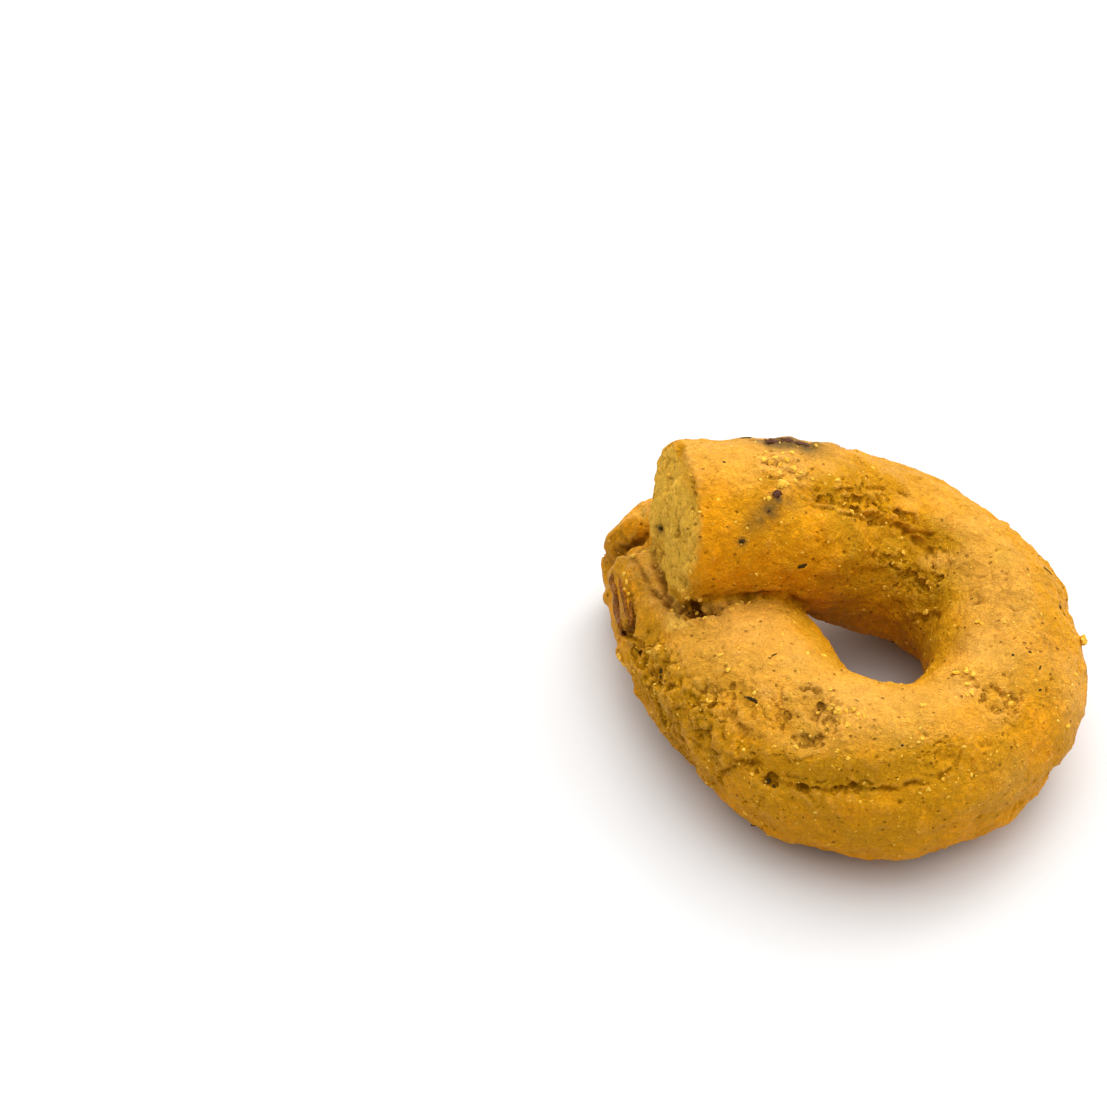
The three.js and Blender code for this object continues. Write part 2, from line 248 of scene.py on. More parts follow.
PALE_SPOTS = (
    ((778, 464), 1.5, 0.9), ((797, 474), 1.2, 0.8), ((785, 485), 0.8, 0.9), ((840, 640), 2.4, 0.3),
    ((800, 650), 3.4, 0.4), ((860, 690), 3.6, 0.5), ((975, 650), 2.6, 0.3), ((965, 690), 1.4, 0.5),
    ((752, 628), 2.6, 0.5), ((765, 692), 0.7, 0.7), ((1075, 700), 2.4, 0.8), ((1070, 670), 2.0, 0.7),
    ((1015, 780), 2.4, 0.4),
)
# Toasted spots brown the skin; those along the lower end's fold are painted shade.
TOASTED_SPOTS = (
    ((1010, 580), 3.0, 0.8), ((1038, 640), 2.8, 0.9), ((1050, 590), 2.2, 0.6), ((1000, 612), 2.0, 0.7),
    ((1030, 700), 2.0, 0.6), ((960, 560), 2.4, 0.7), ((925, 650), 1.6, 0.5), ((795, 726), 1.8, 0.6),
    ((755, 738), 2.0, 0.5), ((880, 745), 2.8, 0.6), ((850, 455), 2.6, 0.4), ((640, 545), 1.2, 0.9),
    ((615, 560), 1.6, 0.8), ((660, 715), 2.6, 0.8), ((700, 770), 2.6, 0.6), ((645, 690), 2.0, 0.8),
    ((980, 640), 2.4, 0.5), ((1060, 560), 1.6, 0.5), ((640, 585), 2.2, 0.8), ((740, 700), 1.8, 0.4),
    ((975, 730), 2.6, 0.5), ((900, 470), 2.4, 0.5), ((990, 596), 4.0, 0.6), ((1012, 640), 3.6, 0.6),
    ((960, 600), 2.6, 0.4), ((1040, 690), 3.0, 0.5), ((632, 566), 1.6, 0.9), ((622, 618), 1.8, 0.9),
    ((690, 700), 3.4, 0.7), ((650, 640), 2.4, 0.7), ((720, 740), 3.0, 0.7), ((950, 690), 2.0, 0.4),
    ((640, 575), 2.4, 1.0), ((628, 545), 1.8, 1.0), ((655, 600), 2.0, 0.7), ((650, 690), 3.4, 0.8),
    ((680, 750), 3.0, 0.8), ((1010, 590), 3.4, 0.9), ((1030, 620), 3.0, 0.8), ((725, 640), 2.4, 0.4),
    ((830, 760), 3.0, 0.4),
)
# Painted shade in the depths of the crevice, the tears and other hollows.
CREVICE_SHADE_SPOTS = (
    ((684, 606), 0.3, 1.0), ((692, 609), 0.5, 1.0), ((703, 611), 0.35, 0.9), ((713, 608), 0.5, 1.0),
    ((722, 606), 0.35, 0.9), ((730, 603), 0.25, 0.8), ((662, 597), 0.3, 0.8), ((655, 551), 0.3, 0.8),
    ((690, 487), 0.16, 0.8), ((692, 494), 0.14, 0.7), ((689, 506), 0.16, 0.7), ((669, 462), 0.2, 0.6),
    ((824, 707), 0.3, 0.7), ((806, 737), 0.45, 0.6), ((829, 503), 0.4, 0.6), ((850, 508), 0.4, 0.5),
    ((875, 518), 0.3, 0.5), ((905, 530), 0.35, 0.5), ((748, 761), 0.3, 0.5), ((629, 612), 0.3, 0.6),
    ((781, 713), 0.3, 0.4), ((1003, 709), 0.3, 0.5),
)
CRUMBLY_SPOTS = (
    ((660, 690), 4.2, 1.0), ((700, 710), 3.6, 0.9), ((640, 660), 2.4, 1.0), ((690, 760), 3.6, 0.7),
    ((925, 575), 3.0, 0.7), ((770, 720), 3.0, 0.7), ((1000, 705), 2.0, 0.6), ((780, 765), 2.8, 0.7),
    ((740, 800), 3.0, 0.4), ((782, 468), 1.6, 0.6), ((830, 715), 1.8, 0.9), ((700, 612), 1.4, 0.8),
    ((870, 505), 2.4, 0.7), ((860, 788), 1.8, 0.5), ((689, 480), 0.8, 0.7), ((690, 510), 0.8, 0.8),
    ((690, 545), 0.9, 0.8), ((686, 585), 1.0, 0.9), ((930, 745), 2.4, 0.5), ((880, 560), 2.4, 0.5),
)

# Pieces in the skin: the pixel, half length, half width, half thickness, and the turn in
# degrees, 0 along the photograph's rows and 90 up it.
HERBS = (
    ((803, 566), 0.42, 0.2, 0.05, 10), ((742, 541), 0.26, 0.16, 0.05, 0),
    ((661, 672), 0.62, 0.2, 0.07, 88), ((754, 700), 0.7, 0.17, 0.06, -22),
    ((768, 782), 0.5, 0.3, 0.07, 20), ((774, 786), 0.26, 0.2, 0.06, 60),
    ((774, 655), 0.26, 0.14, 0.05, 40), ((1047, 570), 0.55, 0.12, 0.06, -48),
    ((1060, 607), 0.2, 0.14, 0.05, 70), ((1064, 614), 0.16, 0.08, 0.04, -50),
    ((1040, 668), 0.24, 0.1, 0.04, 60), ((661, 529), 0.24, 0.18, 0.06, -60),
    ((745, 438), 0.55, 0.14, 0.06, 5), ((885, 662), 0.2, 0.1, 0.04, 20),
    ((1030, 652), 0.16, 0.12, 0.04, 0), ((1040, 690), 0.16, 0.1, 0.04, 30),
    ((933, 660), 0.2, 0.1, 0.05, 60), ((724, 462), 0.14, 0.12, 0.04, 0),
    ((770, 658), 0.14, 0.08, 0.04, 10), ((902, 745), 0.14, 0.1, 0.04, 0),
    ((1013, 655), 0.12, 0.1, 0.04, 0),
)
OLIVES = (
    ((777, 442), 0.95, 0.4, 0.1, 8), ((787, 440), 0.6, 0.36, 0.1, -5), ((806, 445), 0.9, 0.34, 0.1, -10),
    ((778, 495), 0.46, 0.38, 0.2, 30), ((768, 512), 0.24, 0.1, 0.03, 40),
)
# Clusters of crumbs: the pixel, the size, and how long and how flat it is as shares of that.
CRUMBS = (
    ((763, 459), 0.34, 1.3, 0.6), ((769, 463), 0.28, 1.6, 0.6), ((775, 458), 0.26, 1.4, 0.7),
    ((781, 464), 0.3, 1.7, 0.6), ((787, 460), 0.24, 1.4, 0.6), ((772, 470), 0.26, 1.3, 0.6),
    ((779, 473), 0.22, 1.5, 0.6), ((793, 469), 0.38, 1.4, 0.6), ((799, 474), 0.28, 1.6, 0.6),
    ((766, 452), 0.2, 1.4, 0.6), ((783, 453), 0.2, 1.7, 0.6), ((760, 467), 0.2, 1.3, 0.6),
    ((778, 484), 0.5, 1.8, 0.4), ((787, 486), 0.4, 1.5, 0.5), ((795, 481), 0.22, 1.4, 0.5),
    ((760, 480), 0.18, 1.3, 0.6), ((812, 479), 0.2, 1.2, 0.6), ((803, 496), 0.3, 1.9, 0.5),
    ((957, 673), 0.42, 2.0, 0.5), ((966, 671), 0.34, 1.5, 0.6), ((974, 676), 0.3, 1.6, 0.5),
    ((967, 684), 0.26, 1.4, 0.6), ((972, 692), 0.28, 1.7, 0.5), ((967, 695), 0.2, 1.2, 0.6),
    ((978, 622), 0.3, 1.2, 0.7), ((982, 624), 0.2, 1.2, 0.7), ((1083, 640), 0.5, 1.3, 0.8),
    ((1082, 635), 0.3, 1.3, 0.8), ((620, 658), 0.42, 1.5, 0.7), ((624, 664), 0.3, 1.4, 0.7),
    ((631, 690), 0.36, 1.4, 0.7), ((650, 651), 0.5, 1.8, 0.5), ((656, 648), 0.36, 1.6, 0.5),
    ((720, 655), 0.24, 1.5, 0.5), ((755, 692), 0.34, 1.6, 0.5), ((838, 752), 0.24, 1.6, 0.6),
    ((928, 790), 0.26, 1.3, 0.7), ((943, 779), 0.22, 1.2, 0.7), ((848, 726), 0.26, 1.3, 0.6),
    ((830, 708), 0.3, 1.3, 0.7), ((838, 713), 0.34, 1.3, 0.7), ((846, 711), 0.3, 1.4, 0.6),
    ((853, 710), 0.24, 1.4, 0.6), ((923, 705), 0.26, 1.3, 0.6), ((830, 690), 0.22, 1.2, 0.7),
    ((926, 612), 0.36, 1.2, 0.6), ((928, 582), 0.22, 1.2, 0.7), ((884, 587), 0.2, 1.2, 0.7),
    ((683, 590), 0.3, 1.2, 0.7), ((627, 582), 0.24, 1.3, 0.7), ((629, 594), 0.26, 1.3, 0.7),
    ((700, 600), 0.3, 1.4, 0.7), ((737, 605), 0.2, 1.2, 0.7), ((749, 603), 0.24, 1.4, 0.6),
    ((774, 746), 0.22, 1.4, 0.6), ((796, 748), 0.26, 1.5, 0.6), ((686, 462), 0.16, 1.3, 0.7),
    ((690, 475), 0.2, 1.4, 0.7), ((693, 512), 0.18, 1.3, 0.7), ((694, 530), 0.22, 1.5, 0.7),
    ((693, 556), 0.2, 1.3, 0.7), ((691, 572), 0.22, 1.4, 0.7), ((688, 598), 0.28, 1.5, 0.6),
    ((742, 602), 0.24, 1.4, 0.7), ((722, 613), 0.24, 1.4, 0.6), ((732, 609), 0.2, 1.3, 0.6),
    ((704, 618), 0.24, 1.4, 0.6), ((672, 611), 0.26, 1.5, 0.6), ((645, 551), 0.26, 1.4, 0.7),
    ((634, 556), 0.24, 1.5, 0.7), ((624, 574), 0.26, 1.4, 0.7),
)
# Strips of tomato: half width, half thickness, how far the strip stands out, and its line.
TOMATO_STRIPS = (
    (0.4, 0.26, 0.02, ((612, 573), (613, 582), (616, 592), (618, 602))),
    (0.46, 0.32, 0.02, ((615, 590), (617, 604), (620, 618), (623, 636))),
    (0.26, 0.24, -0.04, ((619, 576), (622, 590), (625, 604), (627, 618))),
    (0.24, 0.22, -0.1, ((630, 597), (631, 612), (630, 632))),
)

# How many marks of each kind there are besides those.
HIDDEN_CRACKS = 26  # on the sides that the photograph doesn't show
HIDDEN_TEARS = 9
HIDDEN_OLIVES = 7
OLIVE_PLACES = 40  # tried all over, of which only those that the photograph doesn't show are used
HERB_PLACES = 70  # the same for herbs
HAIRLINES = 420
PITS = 520
LOOSE_CRUMBS = 520
CRUMBS_IN_CLUSTER = 5

CRACK_SHADE = 0.4  # how dark the painted shade in a crack is, unless its own line says
CRACK_LIP = 0.2  # the height of a crack's lips as a share of its depth
HAIRLINE_LIP = 0.15
TEAR_EDGE = 0.16  # how wide a tear's slope is
PLATE_SIZE = 2.0  # crumbly dough breaks into plates, and those into flakes
FLAKE_SIZE = 0.8
SLAB_SIZE = 1.9  # the plates of the cut face
CRACKLE_SIZE = 2.2  # the plates between the thin cracks elsewhere
LUMP_SIZE = 1.1  # the lumps of torn dough

# ---------------------------------------------------------------- settings


def color_property(name, description, default):
    return FloatVectorProperty(
        name=name,
        description=description,
        subtype="COLOR",
        size=3,
        min=0.0,
        max=1.0,
        default=default,
    )


class DoughSettings(bpy.types.PropertyGroup):
    """The baked dough's mesh and colours."""

    facet: FloatProperty(
        name="Facet",
        description="Length of a facet of the skin's mesh",
        default=0.15 * MM,
        min=0.08 * MM,
        max=1.0 * MM,
        precision=5,
        unit="LENGTH",
    )
    relief: FloatProperty(
        name="Relief",
        description="How deep the cracks, tears and lumps are, as a share of the real ones",
        default=1.0,
        min=0.0,
        max=2.0,
        subtype="FACTOR",
    )
    skin: color_property("Skin", "Golden skin of the dough", (0.61, 0.27, 0.004))
    # Amber is deeply baked skin, and on the lower sides it also stands in for the tone of shade.
    amber_and_low_shade: color_property("Amber", "More deeply baked skin", (0.83, 0.32, 0.003))
    khaki: color_property("Khaki", "Torn dough, which stays greener", (0.56, 0.285, 0.008))
    cut: color_property("Cut", "The cut end's face", (0.8, 0.45, 0.05))
    toasted: color_property("Toasted", "Browner skin", (0.38, 0.165, 0.004))
    # Pale is floury places, and also the painted highlight on the skin's top and its ridges.
    pale: color_property("Pale", "Floury places on the skin", (0.82, 0.43, 0.1))
    # Rust is small toasted specks, and also the painted shade of the thin creases.
    rust_and_crease_shade: color_property("Rust", "Small toasted specks", (0.45, 0.13, 0.004))
    # Crack is the painted shade in the depths of cracks, pinholes, crevices and hollows.
    crack: color_property("Crack", "Depth of a crack or pinhole", (0.13, 0.04, 0.002))
    smear: color_property("Smear", "Dough stained by olive", (0.12, 0.07, 0.018))


class BitSettings(bpy.types.PropertyGroup):
    """The bits in the dough."""

    grains: IntProperty(
        name="Grains",
        description="Number of semolina grains in the skin",
        default=1000,
        min=0,
        max=6000,
    )
    grain: color_property("Grain", "Semolina grains", (0.88, 0.56, 0.085))
    crumb: color_property("Crumb", "Torn crumbs", (0.78, 0.41, 0.022))
    herb: color_property("Herb", "Dried herb flakes", (0.07, 0.042, 0.007))
    olive: color_property("Olive", "Bits of black olive", (0.1, 0.036, 0.016))
    tomato: color_property("Tomato", "Strips of dried tomato", (0.34, 0.115, 0.01))


class StageSettings(bpy.types.PropertyGroup):
    """The table and the light."""

    floor: color_property("Floor", "The table's colour", (0.665, 0.665, 0.665))
    room_strength: FloatProperty(
        name="Room",
        description="Strength of the light that comes from the camera's side",
        default=0.39,
        min=0.0,
        max=4.0,
    )
    tent_strength: FloatProperty(
        name="Light tent",
        description="Strength of the light from above and behind, at its brightest",
        default=2.02,
        min=0.0,
        max=4.0,
    )
    key_power: FloatProperty(
        name="Key light",
        description="Power of the soft light from behind on the right",
        default=0.565,
        min=0.0,
        max=50.0,
        unit="POWER",
    )
    top_power: FloatProperty(
        name="Top light",
        description="Power of the wide soft light overhead",
        default=0.635,
        min=0.0,
        max=50.0,
        unit="POWER",
    )


# ---------------------------------------------------------------- the skin as arrays


class Skin:
    """The dough's skin as arrays in millimetres, and the masks that its finish reads."""

    def __init__(self, mesh):
        self.points = np.empty(len(mesh.vertices) * 3)
        mesh.vertices.foreach_get("co", self.points)
        self.points = self.points.reshape(-1, 3)
        corners = np.empty(len(mesh.loops), dtype=np.int32)
        mesh.loops.foreach_get("vertex_index", corners)
        self.quads = corners.reshape(-1, 4)
        ends = np.concatenate([self.quads[:, (i, (i + 1) % 4)] for i in range(4)])
        self.edges = np.unique(np.sort(ends, axis=1), axis=0)
        self.ways = np.bincount(self.edges.ravel(), minlength=len(self.points))
        self.masks = {}
        self.turn_normals()

    def summed(self, places, values):
        """Adds up values that fall on the same point."""
        columns = [np.bincount(places, values[:, axis], len(self.points)) for axis in range(3)]
        return np.stack(columns, axis=1)

    def smoothed(self, points, rounds):
        """The points after each has moved halfway to its neighbours' mean, round by round."""
        first, second = self.edges.T
        for _ in range(rounds):
            total = self.summed(first, points[second]) + self.summed(second, points[first])
            points = (points + total / self.ways[:, None]) / 2
        return points

    def turn_normals(self):
        """Works the normals out again, after the points have moved."""
        a, b, c, d = (self.points[self.quads[:, i]] for i in range(4))
        across = np.cross(c - a, d - b)
        normals = sum(self.summed(self.quads[:, i], across) for i in range(4))
        self.normals = normals / np.linalg.norm(normals, axis=1, keepdims=True)

    def rise(self, heights):
        """Moves the points out along their normals, and never below the table."""
        self.points = self.points + self.normals * heights[:, None]
        self.points[:, 2] = np.maximum(self.points[:, 2], 0.0)
        self.turn_normals()

    def tree(self):
        """A tree to find places on the skin with."""
        return BVHTree.FromPolygons(self.points.tolist(), self.quads.tolist())

    def mask(self, name, values):
        """Adds to a mask, whose values stay between 0 and 1."""
        known = self.masks.get(name, np.zeros(len(self.points)))
        self.masks[name] = np.clip(known + values, 0.0, 1.0)


def smooth_step(values, low, high):
    share = np.clip((values - low) / (high - low), 0.0, 1.0)
    return share * share * (3.0 - 2.0 * share)


def bell(values):
    return np.exp(-values * values)


class Spots:
    """Points to read noise at, where shift picks one of the many kinds of noise of a size."""

    def __init__(self, points):
        self.spots = [Vector(point) for point in points.tolist()]

    def read(self, kind, size, shift):
        start = Vector((shift, shift * 1.7 + 3.1, shift * 0.3 - 5.2))
        share = 1.0 / size
        return [kind(spot * share + start) for spot in self.spots]

    def waves(self, size, shift):
        """Smooth noise from about -1 to 1, whose lumps are as large as size."""
        return np.array(self.read(noise.noise, size, shift))

    def layers(self, size, shift, count=3):
        """Waves of a size with finer and lower ones on them."""
        return np.array(self.read(lambda spot: noise.fractal(spot, 1.0, 2.0, count), size, shift))

    def creases(self, size, shift, count=3):
        """Round lumps with creases between them, from about 0 in a crease to 1."""
        return np.array(self.read(lambda spot: noise.turbulence(spot, count, True), size, shift))

    def plates(self, size, shift):
        """Plates of a size: how far the edge is from each point, and the plate's level from 0 to 1."""

        def plate(spot):
            gaps, middles = noise.voronoi(spot)
            return (gaps[1] - gaps[0]) * size / 2, noise.cell(middles[0] * 1.01)

        return np.array(self.read(plate, size, shift)).T


# ---------------------------------------------------------------- places on the skin


def skin_place(tree, pixel):
    """The point of the skin that a pixel of the photograph shows, and its normal."""
    point, normal, _, _ = tree.ray_cast(Vector(CAMERA_PLACE), Vector(pixel_direction(pixel)))
    if point is None:
        direction = pixel_direction(pixel)
        passed = CAMERA_PLACE + direction * VIEW_DISTANCE
        point, normal, _, _ = tree.find_nearest(Vector(passed))
    return np.array(point), np.array(normal)


def skin_line(tree, pixels, step=5.0):
    """Points on the skin along a line of pixels of the photograph."""
    line = []
    for start, end in zip(pixels, pixels[1:]):
        start, end = np.array(start, float), np.array(end, float)
        parts = max(1, round(float(np.linalg.norm(end - start)) / step))
        line += [skin_place(tree, start + (end - start) * part / parts)[0] for part in range(parts)]
    line.append(skin_place(tree, pixels[-1])[0])
    return np.array(line)


def skin_walk(tree, start, normal, length, rng, bend=0.9, step=0.35):
    """Points on the skin along a short wandering line from a start."""
    heading = rng.normal(size=3)
    point = start
    line = [point]
    for _ in range(max(2, round(length / step))):
        heading = heading + rng.normal(size=3) * bend
        heading = heading - normal * (heading @ normal)
        heading = heading / np.linalg.norm(heading)
        near, facing, _, _ = tree.find_nearest(Vector(point + heading * step))
        point, normal = np.array(near), np.array(facing)
        line.append(point)
    return np.array(line)


class LineGap:
    """The points near a line: their distance to it, the share of it passed, and their side."""

    def __init__(self, points, normals, line, reach):
        low, high = line.min(axis=0) - reach, line.max(axis=0) + reach
        self.near = np.flatnonzero(((points > low) & (points < high)).all(axis=1))
        spots, facing = points[self.near], normals[self.near]
        self.gap = np.full(len(spots), np.inf)
        self.passed = np.zeros(len(spots))
        self.left = np.zeros(len(spots))
        runs = line[1:] - line[:-1]
        lengths = np.linalg.norm(runs, axis=1)
        before = np.concatenate([[0.0], np.cumsum(lengths)])
        for start, run, length, done in zip(line, runs, lengths, before):
            if length == 0.0:
                continue
            offset = spots - start
            along = np.clip(offset @ run / length**2, 0.0, 1.0)
            away = offset - along[:, None] * run
            gap = np.linalg.norm(away, axis=1)
            closer = gap < self.gap
            self.gap[closer] = gap[closer]
            self.passed[closer] = (done + along[closer] * length) / before[-1]
            turn = np.einsum("ij,ij->i", np.cross(run, away), facing)
            self.left[closer] = np.sign(turn[closer])


# ---------------------------------------------------------------- relief of the skin


def unseen(points, normals):
    """1 where the photograph's camera doesn't see the skin, and 0 where it does."""
    toward = CAMERA_PLACE - points
    toward = toward / np.linalg.norm(toward, axis=1, keepdims=True)
    return 1.0 - smooth_step(np.einsum("ij,ij->i", toward, normals), -0.1, 0.25)


class Relief:
    """Heights of the skin over its base shape, and how torn it is, both built up mark by mark."""

    def __init__(self, skin):
        self.base = skin.points.copy()
        self.normals = skin.normals
        self.tree = skin.tree()
        self.spots = Spots(self.base)
        self.hidden = unseen(self.base, self.normals)
        self.heights = np.zeros(len(self.base))
        self.torn = np.zeros(len(self.base))
        # deep holds the painted shade along the darker cracks.
        self.deep = np.zeros(len(self.base))
        bent = [0.22 * self.spots.waves(0.9, 11.0 + 7.0 * axis) for axis in range(3)]
        finer = [0.13 * self.spots.waves(0.36, 51.0 + 7.0 * axis) for axis in range(3)]
        offset = np.stack(bent, axis=1) + np.stack(finer, axis=1)
        offset -= self.normals * np.einsum("ij,ij->i", offset, self.normals)[:, None]
        self.warped = self.base + offset
        self.uneven = 1.0 + 0.5 * self.spots.waves(0.6, 97.0)
        self.plate_edge, self.plate_level = Spots(self.warped).plates(PLATE_SIZE, 3.0)
        self.flake_edge, self.flake_level = Spots(self.warped).plates(FLAKE_SIZE, 9.0)
        self.parted = 0.25 + 0.75 * smooth_step(self.spots.waves(1.3, 103.0), -0.4, 0.1)

    def near(self, line, reach):
        return LineGap(self.warped, self.normals, line, reach)

    def crack(self, line, width, depth, lip, shade=0.0, reach=0.0):
        """Presses a ragged crack into the skin, with a lip along both sides and painted shade in its
        depth.
        """
        found = self.near(line, 2.5 * width)
        uneven = self.uneven[found.near]
        depth = depth * self.parted[found.near]
        gap = found.gap / (width / 2) / uneven
        taper = np.sin(np.pi * np.clip(found.passed, 0.03, 0.97)) ** 0.4
        self.heights[found.near] += depth * uneven * taper * (lip * bell((gap - 2.1) / 0.9) - bell(gap))
        dark = shade * taper * self.parted[found.near] * bell(found.gap / max(reach, width * 0.45))
        self.deep[found.near] = np.maximum(self.deep[found.near], dark)

    def tear(self, line, radius, depth):
        """Tears the skin off along a line, flake by flake."""
        found = self.near(line, radius * 1.8)
        reach = radius * (0.25 + 0.6 * self.flake_level[found.near] + 0.4 * self.uneven[found.near])
        torn = smooth_step(reach - found.gap, -TEAR_EDGE / 2, TEAR_EDGE / 2)
        fresh = np.maximum(torn - self.torn[found.near], 0.0)
        self.heights[found.near] -= depth * fresh
        self.torn[found.near] += fresh

    def ledge(self, line, height, reach):
        """Raises the skin to the left of a line, with a sharp edge and a narrow crack at its foot."""
        found = self.near(line, reach * 1.5)
        taper = np.sin(np.pi * np.clip(found.passed, 0.03, 0.97)) ** 0.5
        side = found.left * found.gap
        raised = smooth_step(side, -0.06, 0.1) * bell(found.gap / reach)
        foot = bell((side + 0.12) / 0.12)
        self.heights[found.near] += height * taper * self.uneven[found.near] * (raised - 0.5 * foot)

    def pits(self, marks):
        """Presses in pits, each a point with a radius and a depth."""
        found = KDTree(len(self.warped))
        for index, point in enumerate(self.warped.tolist()):
            found.insert(point, index)
        found.balance()
        for point, radius, depth in marks:
            for _, index, gap in found.find_range(Vector(point), radius * 1.4):
                self.heights[index] -= depth * (1.0 - min(1.0, gap / radius / 1.3) ** 2) ** 2

    def spot(self, marks):
        """How strongly soft spots of the photograph cover each point."""
        total = np.zeros(len(self.base))
        for pixel, reach, strength in marks:
            middle, _ = skin_place(self.tree, pixel)
            gap = np.linalg.norm(self.base - middle, axis=1)
            total = np.maximum(total, strength * bell(gap / reach))
        return total

    def walk(self, rng, places, length, bend):
        """A short line that wanders over the skin from one of the places."""
        place = rng.choice(places)
        return skin_walk(self.tree, self.base[place], self.normals[place], length, rng, bend)


def base_skin(facet):
    """The solid's shape with small even facets, as arrays."""
    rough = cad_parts[NODE].data.copy()
    rough.transform(Matrix.Scale(1.0 / MM, 4))
    carrier = bpy.data.objects.new("rough_dough", rough)
    bpy.context.scene.collection.objects.link(carrier)
    remesh = carrier.modifiers.new("even_facets", "REMESH")
    remesh.mode = "VOXEL"
    remesh.voxel_size = facet / MM
    seen = carrier.evaluated_get(bpy.context.evaluated_depsgraph_get())
    even = bpy.data.meshes.new_from_object(seen)
    skin = Skin(even)
    bpy.data.objects.remove(carrier)
    bpy.data.meshes.remove(even)
    bpy.data.meshes.remove(rough)
    skin.points = skin.smoothed(skin.points, rounds=24)
    skin.turn_normals()
    return skin


def shape_skin(skin, relief):
    """Gives the skin its lumps, cracks, tears, flakes and pits, and fills its masks."""
    rng = np.random.default_rng(7)
    marks = Relief(skin)
    spots, hidden = marks.spots, marks.hidden
    everywhere = np.arange(len(skin.points))
    behind = np.flatnonzero(hidden > 0.6)

    for width, depth, line, *dark in CRACKS:
        shade, reach = dark or (CRACK_SHADE, 0.0)
        marks.crack(skin_line(marks.tree, line), width, depth, CRACK_LIP, shade, reach)
    for radius, depth, line in TEARS:
        marks.tear(skin_line(marks.tree, line), radius, depth)
    for height, reach, line in LEDGES:
        marks.ledge(skin_line(marks.tree, line), height, reach)
    # The sides that the photograph doesn't show have cracks and tears of the same kinds.
    for _ in range(HIDDEN_CRACKS):
        line = marks.walk(rng, behind, rng.uniform(2.0, 9.0), 0.35)
        marks.crack(line, rng.uniform(0.3, 0.6), rng.uniform(0.2, 0.45), CRACK_LIP)
    for _ in range(HIDDEN_TEARS):
        line = marks.walk(rng, behind, rng.uniform(1.0, 4.5), 0.4)
        marks.tear(line, rng.uniform(0.5, 1.2), rng.uniform(0.1, 0.3))
    # Short hairlines and pits are all over.
    for _ in range(HAIRLINES):
        line = marks.walk(rng, everywhere, rng.uniform(0.5, 2.2), 0.8)
        marks.crack(line, rng.uniform(0.15, 0.26), rng.uniform(0.05, 0.12), HAIRLINE_LIP)
    pits = [(skin_place(marks.tree, pixel)[0], rng.uniform(0.14, 0.18), 0.2) for pixel in PINHOLES]
    for place in rng.choice(everywhere, size=PITS):
        radius = 0.13 + 0.06 * rng.random() ** 3
        pits.append((marks.base[place], radius, radius * rng.uniform(0.5, 1.1)))
    marks.pits(pits)

    # Crumbly places are broken into plates of two sizes, and tears show lumps of crumb.
    crumbly = marks.spot(CRUMBLY_SPOTS)
    patches = smooth_step(spots.waves(6.0, 31.0) + 0.5 * spots.waves(2.5, 33.0), 0.28, 0.6)
    crumbly = np.maximum(crumbly, hidden * patches * 0.8)
    crumbly *= smooth_step(spots.layers(1.8, 35.0), -0.5, 0.3)
    bent = Spots(marks.warped)
    lumps = spots.creases(LUMP_SIZE, 71.0)
    lumps = lumps / lumps.std()
    lumps = lumps - lumps.mean()
    plates = 0.36 * (marks.plate_level - 0.5) - 0.2 * bell(marks.plate_edge / 0.1)
    flakes = 0.2 * (marks.flake_level - 0.5) - 0.07 * bell(marks.flake_edge / 0.08)
    broken = crumbly * (plates + flakes) + (0.5 * crumbly + marks.torn).clip(0.0, 1.0) * 0.04 * lumps
    broken += 0.7 * marks.torn * flakes

    # Elsewhere the skin is lumpy and finely wrinkled, and parted by a few thin angular cracks.
    crackle_edge, _ = bent.plates(CRACKLE_SIZE, 15.0)
    crackled = smooth_step(spots.layers(3.4, 61.0), 0.15, 0.5)
    swells = 0.22 * spots.waves(5.5, 1.0) + 0.27 * spots.waves(2.3, 2.0)
    wrinkles = 0.13 * spots.layers(1.1, 81.0, 3) - 0.1 * crackled * bell(crackle_edge / 0.08)

    past_rim = (marks.base - CUT_MIDDLE) @ CUT_HEADING
    past_rim += 0.3 * spots.waves(1.7, 91.0) + 0.18 * spots.waves(0.6, 93.0) + RIM_SHIFT
    by_cut = np.linalg.norm(marks.base - CUT_MIDDLE, axis=1) < CUT_RADIUS * 1.15
    facing_out = smooth_step(marks.normals @ CUT_HEADING, 0.2, 0.5)
    cut = smooth_step(past_rim, -0.15, 0.25) * by_cut * facing_out
    cut *= smooth_step(marks.base[:, 2], FLAP_TOP - 0.3, FLAP_TOP + 0.3)
    cut *= 1.0 - 0.6 * smooth_step(marks.base[:, 2], 20.4, 22.0)
    slab_edge, slab_level = bent.plates(SLAB_SIZE, 27.0)
    broken += cut * (0.1 * (slab_level - 0.5) - 0.08 * bell(slab_edge / 0.07) + 0.03 * lumps)
    rim = 0.14 * bell(past_rim / 0.3) - 0.12 * bell((past_rim - 0.55) / 0.25)
    rim *= by_cut * smooth_step(marks.heights, -0.1, 0.0)

    skin.rise((marks.heights + swells) * relief)
    skin.rise((broken + wrinkles + rim) * relief)

    # How far each point lies below or above the skin round it, for painted shade in the hollows and
    # painted highlight on the ridges.
    near_mean = skin.smoothed(skin.points, rounds=8)
    far_mean = skin.smoothed(near_mean, rounds=40)
    fine = np.einsum("ij,ij->i", skin.points - near_mean, skin.normals)
    coarse = np.einsum("ij,ij->i", skin.points - far_mean, skin.normals)
    fine, coarse = fine / fine.std(), coarse / coarse.std()
    # Hollow points get painted shade.
    skin.mask("shaded_hollow", smooth_step(-fine, 1.0, 3.5) * 0.9 + smooth_step(-coarse, 1.0, 3.0) * 0.5)
